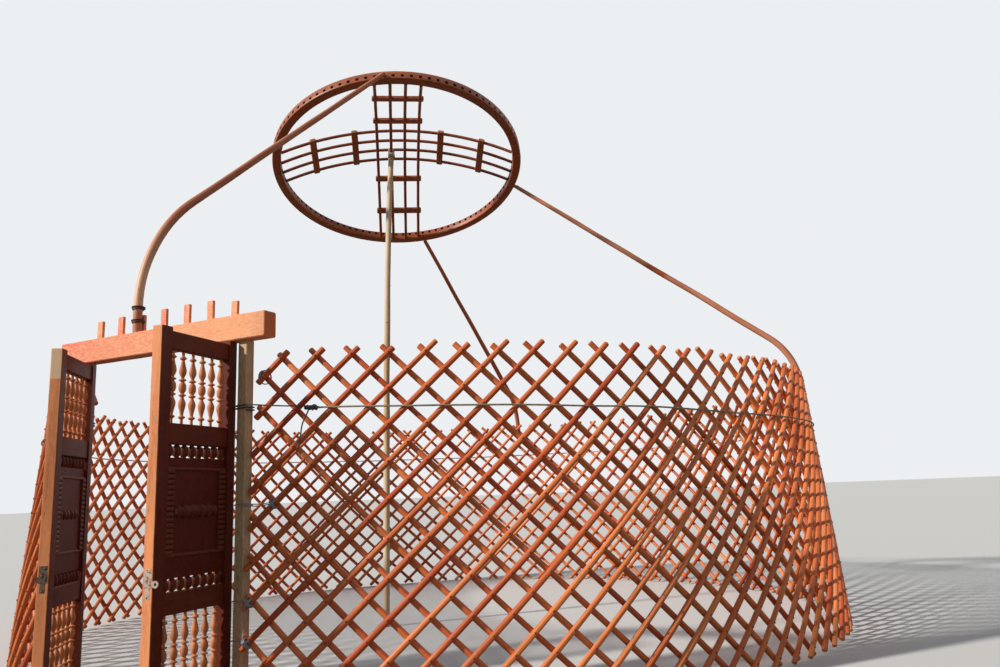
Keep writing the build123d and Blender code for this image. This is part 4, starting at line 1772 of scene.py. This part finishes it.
@dataclass
class RoofPole:
    """A roof pole with a bent foot and a squared tip in a socket of the crown.

    Attributes:
        node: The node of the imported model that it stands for.
        foot: Middle of its foot.
        lean: How far its foot leans, in radians.
        bend_height: Height of the bend above the foot.
        bend_radius: Radius of the bend.
        socket: Number of its socket in the crown, counted from 0.
        tone: The wood's tone along it.
        straps: Distances from the foot at which a strap is wound round it.
        dark_band: Start and end of a stretch of dark bark, from the foot.
        foot_radius: Radius of its foot.
        tip_radius: Radius where it is squared.
        stand_off: How far its round part ends before the socket.
        tenon_depth: How far its squared tip goes into the socket.
        tenon_size: Side of that tip.
    """

    node: str
    foot: Vector
    lean: float
    bend_height: float
    bend_radius: float
    socket: int
    tone: Tone = 0.3
    straps: tuple[float, ...] = ()
    dark_band: tuple[float, float] | None = None
    foot_radius: float = 0.021
    tip_radius: float = 0.015
    stand_off: float = 0.022
    tenon_depth: float = 0.045
    tenon_size: float = 0.0194

    def route(self, crown: Crown) -> tuple[list[Vector], Vector]:
        """Lay the pole from its foot, round its bend and to its socket.

        Args:
            crown: The crown that has the socket.

        Returns:
            The centre line of the round part, and the inner end of the tip.
        """
        mouth, outward = crown.socket_line(self.socket)
        tip = mouth + outward * self.stand_off
        plan = Vector((tip.x - self.foot.x, tip.y - self.foot.y, 0)).normalized()
        bend = self.foot + plan * (self.bend_height * math.tan(self.lean))
        bend += Z_AXIS * self.bend_height
        lower = (bend - self.foot).normalized()
        upper = (tip - bend).normalized()
        turn = lower.angle(upper)
        run = self.bend_radius * math.tan(turn / 2)
        start = bend - lower * run
        side = (upper - lower * upper.dot(lower)).normalized()
        centre = start + side * self.bend_radius
        points = [self.foot.lerp(start, i / 6) for i in range(6)]
        steps = 14
        for i in range(steps):
            angle = turn * i / steps
            spoke = -side * math.cos(angle) + lower * math.sin(angle)
            points.append(centre + spoke * self.bend_radius)
        last = bend + upper * run
        points += [last.lerp(tip, i / 24) for i in range(25)]
        return points, mouth - outward * self.tenon_depth

    def build(self, crown: Crown) -> None:
        """Add the pole and its straps."""
        seed = 51 + self.socket
        form = Form(self.node + "_shaft", seed)
        points, inner_end = self.route(crown)
        length = sum((b - a).length for a, b in zip(points, points[1:]))
        travelled = 0.0
        sizes = []
        path = []
        for i, point in enumerate(points):
            travelled += (point - points[max(i - 1, 0)]).length
            share = travelled / length
            taper = (self.tip_radius - self.foot_radius) * ramp(share, 0.2, 1.0)
            sizes.append((self.foot_radius + taper) * (1 + 0.05 * ripple(seed, travelled * 5)))
            sway = Vector([ripple(seed, travelled * 2.5, k) for k in (1.0, 2.0, 3.0)])
            path.append(point + sway * 0.004 * min(1.0, 4 * share, 4 * (1 - share)))
        up = X_AXIS if abs(path[1].z - path[0].z) > 0.01 else Z_AXIS
        form.sweep(path, round_section(1.0, 14), sizes, up, self.shade, end_round=0.002)
        neck = path[-1]
        back = (inner_end - neck).normalized() * 0.012
        square = plank_section(self.tenon_size, self.tenon_size, 0.0015)
        tenon = [neck - back, neck, inner_end]
        form.sweep(tenon, square, [1.15, 1.0, 0.97], crown.normal, tone=0.0)
        form.made(POLE_WOOD, Body.FRAME, [self.node])
        if self.straps:
            self.wrap(path, sizes)

    def shade(self, travelled: float) -> float:
        """Tone of the pole at a distance from its foot."""
        if self.dark_band and self.dark_band[0] < travelled < self.dark_band[1]:
            return -0.9
        return tone_at(self.tone, travelled)

    def wrap(self, path: Sequence[Vector], sizes: Sequence[float]) -> None:
        """Wind a flat strap round the pole at each place that has one.

        Args:
            path: The pole's centre line.
            sizes: Its radius at each point.
        """
        form = Form(self.node + "_straps", seed=61)
        flat = plank_section(0.011, 0.0035, 0.001)
        off = 0.0022
        spread = 0.014
        for distance in self.straps:
            travelled = 0.0
            for before, after, size in zip(path, path[1:], sizes):
                step = (after - before).length
                if travelled <= distance < travelled + step:
                    break
                travelled += step
            axis = (after - before).normalized()
            middle = before + axis * (distance - travelled)
            side = axis.orthogonal().normalized()
            turns = helix(middle, axis, size + off, turns=3, steps=60, length=spread)
            form.sweep(turns, flat, up=side, end_cut=0.0)
            form.nub(middle + side * (size + 0.004), side, radius=0.01, height=0.008)
        form.made(RAWHIDE, Body.FRAME)


@dataclass
class PropPole:
    """The pale peeled pole that holds the crown up.

    Attributes:
        radius: Its usual radius.
        foot: Where it stands.
        bends: Where its line bends a little.
    """

    radius: float = 0.022
    foot: Vector = field(default_factory=lambda: Vector((-0.241, 2.081, 0.0004)))
    bends: tuple[tuple[float, float, float], ...] = (
        (-0.218, 2.096, 1.923),
        (-0.203, 2.106, 2.748),
    )

    def build(self, crown: Crown) -> None:
        """Add the pole with its knots, and the cord that lashes it to the crown."""
        form = Form("prop_pole_shaft", seed=71)
        bar = crown.bar_spacing / 2
        drop = crown.dome_drop(bar + self.radius) + crown.bar_radius + HAIR_GAP
        head = crown.place @ Vector((-bar, bar, crown.front_rise - drop))
        corners = [self.foot, *(Vector(b) for b in self.bends), head]
        line = spline_points([corners[0], corners[0].lerp(corners[1], 0.6), *corners[1:]], 16)
        line[-1] = head
        sizes = []
        path = []
        for i, point in enumerate(line):
            z = point.z
            knot = max(0.0, ripple(8.0, z * 3.2) - 0.25)
            swell = ripple(3.0, z * 4)
            sizes.append(self.radius * (1.02 - 0.12 * z / 3.3 + 0.05 * swell + 0.25 * knot))
            sway = Vector((ripple(z * 2.2, 5), ripple(z * 2.2, 9), 0))
            inside = min(1.0, 6 * i / len(line), 6 * (1 - (i + 1) / len(line)))
            path.append(point + sway * 0.006 * max(0.0, inside))
        form.sweep(path, round_section(1.0, 14), sizes, Y_AXIS, self.tone)
        knots = 9
        for _ in range(knots):
            i = form.chance.randrange(3, len(path) - 3)
            turn = form.chance.uniform(0, 2 * math.pi)
            out = (level_at(turn) + Z_AXIS * 0.35).normalized()
            form.nub(path[i] + out * (sizes[i] * 0.9), out, radius=0.008, height=0.006)
        form.made(PEELED_WOOD, Body.FRAME, ["prop_pole"])
        self.lashing(crown, head)

    @staticmethod
    def tone(travelled: float) -> float:
        """Tone of the pole at a distance from its foot."""
        return 0.45 + 0.3 * math.sin(travelled * 3)

    def lashing(self, crown: Crown, head: Vector) -> None:
        """Bind the pole's head to the two bars that cross above it.

        Args:
            crown: The crown that has the bars.
            head: The top of the pole.
        """
        form = Form("prop_pole_lashing", seed=72)
        cord = 0.0022
        normal = crown.normal
        form.coil(head - normal * 0.032, normal, self.radius + cord, cord, turns=5)
        turned = crown.place.to_3x3()
        low = head - normal * 0.036
        top = head + normal * (4 * crown.bar_radius + 0.003)
        for angle in (35, 50, 130, 145):
            side = turned @ level_at(math.radians(angle))
            snug = side * (self.radius + cord)
            half = side * (self.radius + 0.006)
            line = [low + snug, head + half, top + half * 0.7, top + normal * 0.003]
            line += [top - half * 0.7, head - half, low - snug]
            form.sweep(spline_points(line, 6), round_section(cord, 6), up=side, end_cut=0.0)
        form.made(PALE_CORD, Body.FRAME)


@dataclass
class BeltRope:
    """The rope pulled tight round the wall, and the cords that tie the wall to the door posts.

    Attributes:
        radius: Radius of the rope.
        cord_radius: Radius of the thinner cords.
        tie_radius: Radius of the thinnest cords, which tie the wall to the posts.
        heights: Height of the rope at some angles about the wall's axis, in degrees.
        knot_x: How far the knots of the rope's ends are from the middle of the doorway.
        knot_height: Height of those knots.
        wound: Height of the last and the first turn of their cords round the posts.
        tie_rows: The rows of crossings that are tied to the posts.
        loop_row: The row of crossings whose first one is bound with a loop.
        tail: Control points of the free end that hangs from the right knot.
    """

    radius: float = 0.004
    cord_radius: float = 0.003
    tie_radius: float = 0.0021
    heights: tuple[tuple[float, float], ...] = (
        (-75.0, 1.213),
        (-60.0, 1.2),
        (-40.0, 1.184),
        (-20.0, 1.164),
        (30.0, 1.166),
        (110.0, 1.188),
        (190.0, 1.18),
        (255.0, 1.212),
    )
    knot_x: float = 0.8
    knot_height: float = 1.2
    wound: tuple[float, float] = (1.214, 1.238)
    tie_rows: tuple[int, ...] = (3, 5, 10)
    loop_row: int = 17
    tail: tuple[tuple[float, float, float], ...] = (
        (0.797, 0.06, 1.2),
        (0.792, 0.052, 1.176),
        (0.772, 0.053, 1.15),
        (0.763, 0.054, 1.118),
        (0.762, 0.053, 1.09),
        (0.75, 0.05, 1.064),
    )

    def height_at(self, degrees: float) -> float:
        """Height of the rope at an angle about the wall's axis."""
        for (low, start), (high, end) in zip(self.heights, self.heights[1:]):
            if degrees <= high:
                share = ramp(degrees, low, high)
                return start + (end - start) * share * share * (3 - 2 * share)
        return self.heights[-1][1]

    def distance(self, wall: Wall, height: float) -> float:
        """Distance of the rope's line from the wall's axis at a height."""
        return wall.radius_at(height) + wall.layer_gap + wall.rod_radius + self.radius

    def knot_degrees(self, wall: Wall) -> float:
        """Half the angle between the two knots, about the wall's axis."""
        return math.degrees(math.asin(self.knot_x / self.distance(wall, self.knot_height)))

    def rope_point(self, wall: Wall, degrees: float) -> Vector:
        """A point of the rope's line on the outside of the rods."""
        height = self.height_at(degrees)
        level = level_at(math.radians(degrees)) * self.distance(wall, height)
        return level + Vector((0, wall.centre_y, height))

    def line(self, wall: Wall) -> None:
        """Add the rope itself, from the right knot round to the left one."""
        form = Form("belt_rope_line", seed=81)
        reach = self.knot_degrees(wall)
        steps = 540
        path = []
        for i in range(steps + 1):
            degrees = reach - 90 + (360 - 2 * reach) * i / steps
            path.append(self.rope_point(wall, degrees) + Z_AXIS * (0.003 * ripple(i * 0.06)))
        form.cord(path, self.radius, sides=8, up=Z_AXIS)
        form.made(ROPE, Body.FRAME, ["belt_rope"])

    def round_post(
        self, side: int, low: float, high: float, turns: int, cord: float
    ) -> list[Vector]:
        """The line of a cord wound round a post, from its outer front corner and back to it.

        Args:
            side: 1 for the right post and -1 for the left one.
            low: Height of its last turn.
            high: Height of its first turn.
            turns: How often it goes round.
            cord: Radius of the cord.

        Returns:
            The points of its line.
        """
        near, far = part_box("right_post")
        off = cord + 0.0004
        corners = ((far.x, near.y, 0), (near.x, near.y, -90), (near.x, far.y, -180))
        corners += ((far.x, far.y, -270),)
        arc = 3
        rounds = []
        for _ in range(turns):
            for x, y, start in corners:
                for i in range(arc + 1):
                    angle = math.radians(start - 90 * i / arc)
                    rounds.append((x + off * math.cos(angle), y + off * math.sin(angle)))
        x, y, _ = corners[0]
        rounds += [(x + off, y), (x + off * 0.5, y - off * 0.87)]
        fall = (low - high) / (len(rounds) - 1)
        return [Vector((side * x, y, high + fall * i)) for i, (x, y) in enumerate(rounds)]

    def belt_end(self, wall: Wall, side: int) -> None:
        """Tie one end of the rope to its post with a doubled cord and a knot.

        Args:
            wall: The wall that the rope goes round.
            side: 1 for the right end and -1 for the left one.
        """
        form = Form("belt_right_end" if side > 0 else "belt_left_end", seed=82)
        cord = self.cord_radius
        reach = self.knot_degrees(wall)
        knot = self.rope_point(wall, reach - 90 if side > 0 else 270 - reach) - Y_AXIS * 0.006
        wound = self.round_post(side, *self.wound, 2, cord)
        slack = Vector((side * 0.03, 0, -0.004))
        upper = [knot + Vector((0, -0.004, 0.006)), knot.lerp(wound[1], 0.5) + slack * 0.2]
        lower = [knot.lerp(wound[-1], 0.55) + slack, knot + Vector((0, 0.001, -0.006))]
        first = spline_points([upper[0], *upper, wound[1], wound[1]], 8)[:-2]
        form.cord(first + wound[1:], cord)
        form.cord([wound[-1], *spline_points([wound[-1], *lower], 8)], cord)
        along = Vector((side * 0.93, 0.36, 0))
        form.coil(knot, along, 0.0075, cord, turns=7)
        form.coil(knot - along * 0.024, along, 0.006, cord, turns=3)
        for tilt, shift in ((0.8, -0.016), (-0.7, 0.004), (0.3, 0.014)):
            form.coil(knot + along * shift, along + Z_AXIS * tilt, 0.0105, cord, turns=1.6)
        form.made(DARK_CORD, Body.FRAME)

    def loose_end(self) -> None:
        """Hang the rope's free end, frayed at its tip, from the right knot."""
        form = Form("belt_free_end", seed=83)
        line = spline_points([Vector(p) for p in self.tail], 14)
        form.cord(line, self.cord_radius, sides=8)
        hanging = form.made(DARK_CORD, Body.FRAME)
        fray = Form("belt_free_end_fray", seed=84)
        run = (line[-1] - line[-3]).normalized()
        strands = 9
        for _ in range(strands):
            spread = stray(fray.chance, 0.5)
            tip = line[-1] + (run + spread).normalized() * fray.chance.uniform(0.012, 0.022)
            middle = line[-1].lerp(tip, 0.5) + spread * 0.002
            root = line[-1] - run * 0.004 + spread * 0.003
            fray.cord([root, middle, tip], 0.0009, sides=5)
        tuft = fray.made(PALE_CORD, Body.FRAME)

    def wall_ties(self, wall: Wall, side: int) -> None:
        """Tie the wall's end to its post, once at each of a few crossings.

        Args:
            wall: The wall.
            side: 1 for its right end and -1 for its left one.
        """
        form = Form("right_wall_ties" if side > 0 else "left_wall_ties", seed=85)
        thin = self.tie_radius
        knots = []
        for row in self.tie_rows:
            height = wall.tip_reach + row * wall.row_rise
            column = 0.0 if row % 2 else 0.5
            at = wall.point(column, height, wall.layer_gap + wall.rod_radius + 0.003)
            crossing = Vector((side * at.x, at.y, at.z))
            wound = self.round_post(side, height - 0.004, height + 0.004, 1, thin)
            first = [crossing + Vector((0, -0.004, 0.006)), crossing.lerp(wound[1], 0.5)]
            last = [wound[-1].lerp(crossing, 0.5) - Z_AXIS * 0.004, crossing]
            form.cord([*first, *wound[1:]], thin)
            form.cord([wound[-1], *last], thin)
            knots.append(crossing)
            outward = wall.outward(column)
            normal = Vector((side * outward.x, outward.y, 0))
            middle = crossing - normal * (wall.layer_gap + 0.002)
            across = Z_AXIS.cross(normal)
            for tilt in (0.9, -0.9, 0.5):
                form.coil(middle, across + Z_AXIS * tilt, 0.021, thin, turns=1.8)
            form.coil(crossing + normal * 0.006, normal, 0.006, thin, turns=2.5)
        if side > 0:
            offset = Vector((-0.012, -0.006, 0))
            low, high = (knot + offset for knot in knots[:2])
            form.cord([low, low.lerp(high, 0.5) - offset * 0.3, high], thin)
            top = wall.point(0.0, wall.tip_reach + self.loop_row * wall.row_rise)
            outward = wall.outward(0.0)
            form.coil(top, Z_AXIS.cross(outward) + outward * 0.5, 0.03, thin, turns=2.4)
        form.made(GREY_CORD, Body.FRAME)

    def build(self, wall: Wall) -> None:
        """Add the rope and all that ties the wall to the door posts."""
        self.line(wall)
        for side in (1, -1):
            self.belt_end(wall, side)
            self.wall_ties(wall, side)
        self.loose_end()


# Studio


@dataclass
class Studio:
    """Camera, lamp, floor and backdrop.

    Attributes:
        eye: Where the camera stands.
        ahead: The level direction that it looks in.
        pitch: How far it looks up, in degrees.
        roll: How far it is rolled, in degrees.
        lens: Its focal length in millimetres, on a sensor of 36 mm.
        to_sun: The direction of the main lamp.
        sun_strength: Strength of the main lamp.
        sky_strength: Strength of the light from all round.
        floor_colour: The floor's colour as the camera sees it.
        floor_bounce: The floor's colour in the light that it throws back.
        floor_reach: How far the floor reaches from the origin.
    """

    eye: Vector = field(default_factory=lambda: Vector((3.082, -2.663, 0.83)))
    ahead: Vector = field(default_factory=lambda: Vector((-0.4524, 0.8918, 0)))
    pitch: float = 10.8
    roll: float = 2.2
    lens: float = 30.11
    to_sun: Vector = field(default_factory=lambda: Vector((-0.547, -0.689, 0.469)))
    sun_strength: float = 3.7
    sky_strength: float = 0.27
    floor_colour: Colour = (0.72, 0.72, 0.71)
    floor_bounce: Colour = (0.16, 0.165, 0.14)
    floor_reach: float = 400.0

    def camera(self) -> None:
        """Make the camera."""
        data = bpy.data.cameras.new("camera")
        data.lens = self.lens
        data.sensor_width = 36.0
        data.clip_end = 900
        made = linked("camera", data)
        pitch = math.radians(self.pitch)
        roll = math.radians(self.roll)
        level = self.ahead.normalized()
        right = Vector((level.y, -level.x, 0))
        forward = level * math.cos(pitch) + Z_AXIS * math.sin(pitch)
        above = right.cross(forward)
        turned_right = right * math.cos(roll) - above * math.sin(roll)
        turned_up = right * math.sin(roll) + above * math.cos(roll)
        turned = Matrix((turned_right, turned_up, -forward)).transposed().to_4x4()
        made.matrix_world = Matrix.Translation(self.eye) @ turned
        bpy.context.scene.camera = made

    def lamp(self) -> None:
        """Make the main lamp."""
        data = bpy.data.lights.new("main_lamp", "SUN")
        data.energy = self.sun_strength
        data.angle = math.radians(3)
        data.color = (1.0, 0.95, 0.88)
        lamp = linked("main_lamp", data)
        lamp.rotation_mode = "QUATERNION"
        lamp.rotation_quaternion = self.to_sun.to_track_quat("Z", "Y")

    def world(self) -> None:
        """Make the light from all round, and the pale background that rays straight to it see."""
        world = bpy.data.worlds.new("world")
        bpy.context.scene.world = world
        nodes = Nodes(world)
        rays = nodes.node("ShaderNodeLightPath").outputs
        seen = Value(nodes, rays["Is Camera Ray"])
        for kind in ("Is Glossy Ray", "Is Transmission Ray"):
            seen = seen.larger(Value(nodes, rays[kind]))
        light = {"Color": (0.86, 0.93, 1.0, 1.0), "Strength": self.sky_strength}
        backdrop = {"Color": (0.84, 0.86, 0.88, 1.0), "Strength": 1.0}
        sky = nodes.value("ShaderNodeBackground", sockets=light)
        shown = nodes.value("ShaderNodeBackground", sockets=backdrop)
        mixed = nodes.value("ShaderNodeMixShader", sockets={0: seen, 1: sky, 2: shown})
        nodes.node("ShaderNodeOutputWorld", sockets={0: mixed})

    def floor(self) -> None:
        """Make the pale floor."""
        mesh = bpy.data.meshes.new("floor")
        reach = self.floor_reach
        corners = [(-reach, -reach, 0), (reach, -reach, 0), (reach, reach, 0), (-reach, reach, 0)]
        mesh.from_pydata(corners, [], [(0, 1, 2, 3)])
        nodes = Nodes(bpy.data.materials.new("pale_floor"))
        seen = nodes.value("ShaderNodeLightPath", output="Is Camera Ray")
        colour = nodes.mix(seen, self.floor_bounce, self.floor_colour)
        sockets = {"Base Color": colour, "Roughness": 0.9}
        shader = nodes.value("ShaderNodeBsdfPrincipled", sockets=sockets)
        nodes.node("ShaderNodeOutputMaterial", sockets={0: shader})
        mesh.materials.append(nodes.owner)
        linked("floor", mesh)

    def build(self) -> None:
        """Make everything that isn't part of the object."""
        bpy.context.scene.view_settings.view_transform = "Standard"
        self.camera()
        self.lamp()
        self.world()
        self.floor()


def wall_pole(wall: Wall, node: str, column: float, socket: int, **looks: object) -> RoofPole:
    """A roof pole whose foot stands against the wall's outer face, a little below its top.

    Args:
        wall: The wall.
        node: The node that the pole stands for.
        column: Where it stands, by the wall's columns.
        socket: Number of its socket in the crown, counted from 0.
        looks: Its tone and its dark band.

    Returns:
        The pole.
    """
    drop = 0.09
    bar_depth = 0.0213
    bend_height, bend_radius = 0.276, 0.44
    lean = math.atan((wall.ground_radius - wall.top_radius) / wall.height)
    proud = bar_depth + RoofPole.foot_radius + wall.inset
    foot = wall.point(column, wall.height - drop, proud)
    return RoofPole(node, foot, lean, bend_height, bend_radius, socket, **looks)


def door_pole_tone(travelled: float) -> float:
    """Tone of the door's pole: stained at its foot, then pale, then stained again."""
    return 0.3 if travelled < 0.1 else 1.0 - 0.8 * ramp(travelled, 0.25, 0.65)


def main() -> None:
    """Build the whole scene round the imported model."""
    logging.basicConfig(level=logging.INFO, format="%(message)s")
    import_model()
    Studio().build()
    wall = Wall()
    wall.build()
    BeltRope().build(wall)
    DoorFrame().build()
    DoorLeaf("left", opening=54.0).build()
    DoorLeaf("right", opening=98.0).build()
    crown = Crown()
    crown.build()
    door_pole = RoofPole(
        "roof_pole_door",
        foot=Vector((-0.147, -0.0283, 1.6253)),
        lean=0.0,
        bend_height=0.466,
        bend_radius=0.8,
        socket=70,
        tone=door_pole_tone,
        straps=(0.055, 0.118),
    )
    door_pole.build(crown)
    right_pole = wall_pole(wall, "roof_pole_right", column=25.5, socket=3, dark_band=(1.34, 1.42))
    right_pole.build(crown)
    wall_pole(wall, "roof_pole_back", column=48.5, socket=20, tone=0.1).build(crown)
    PropPole().build(crown)


if __name__ == "__main__":
    main()
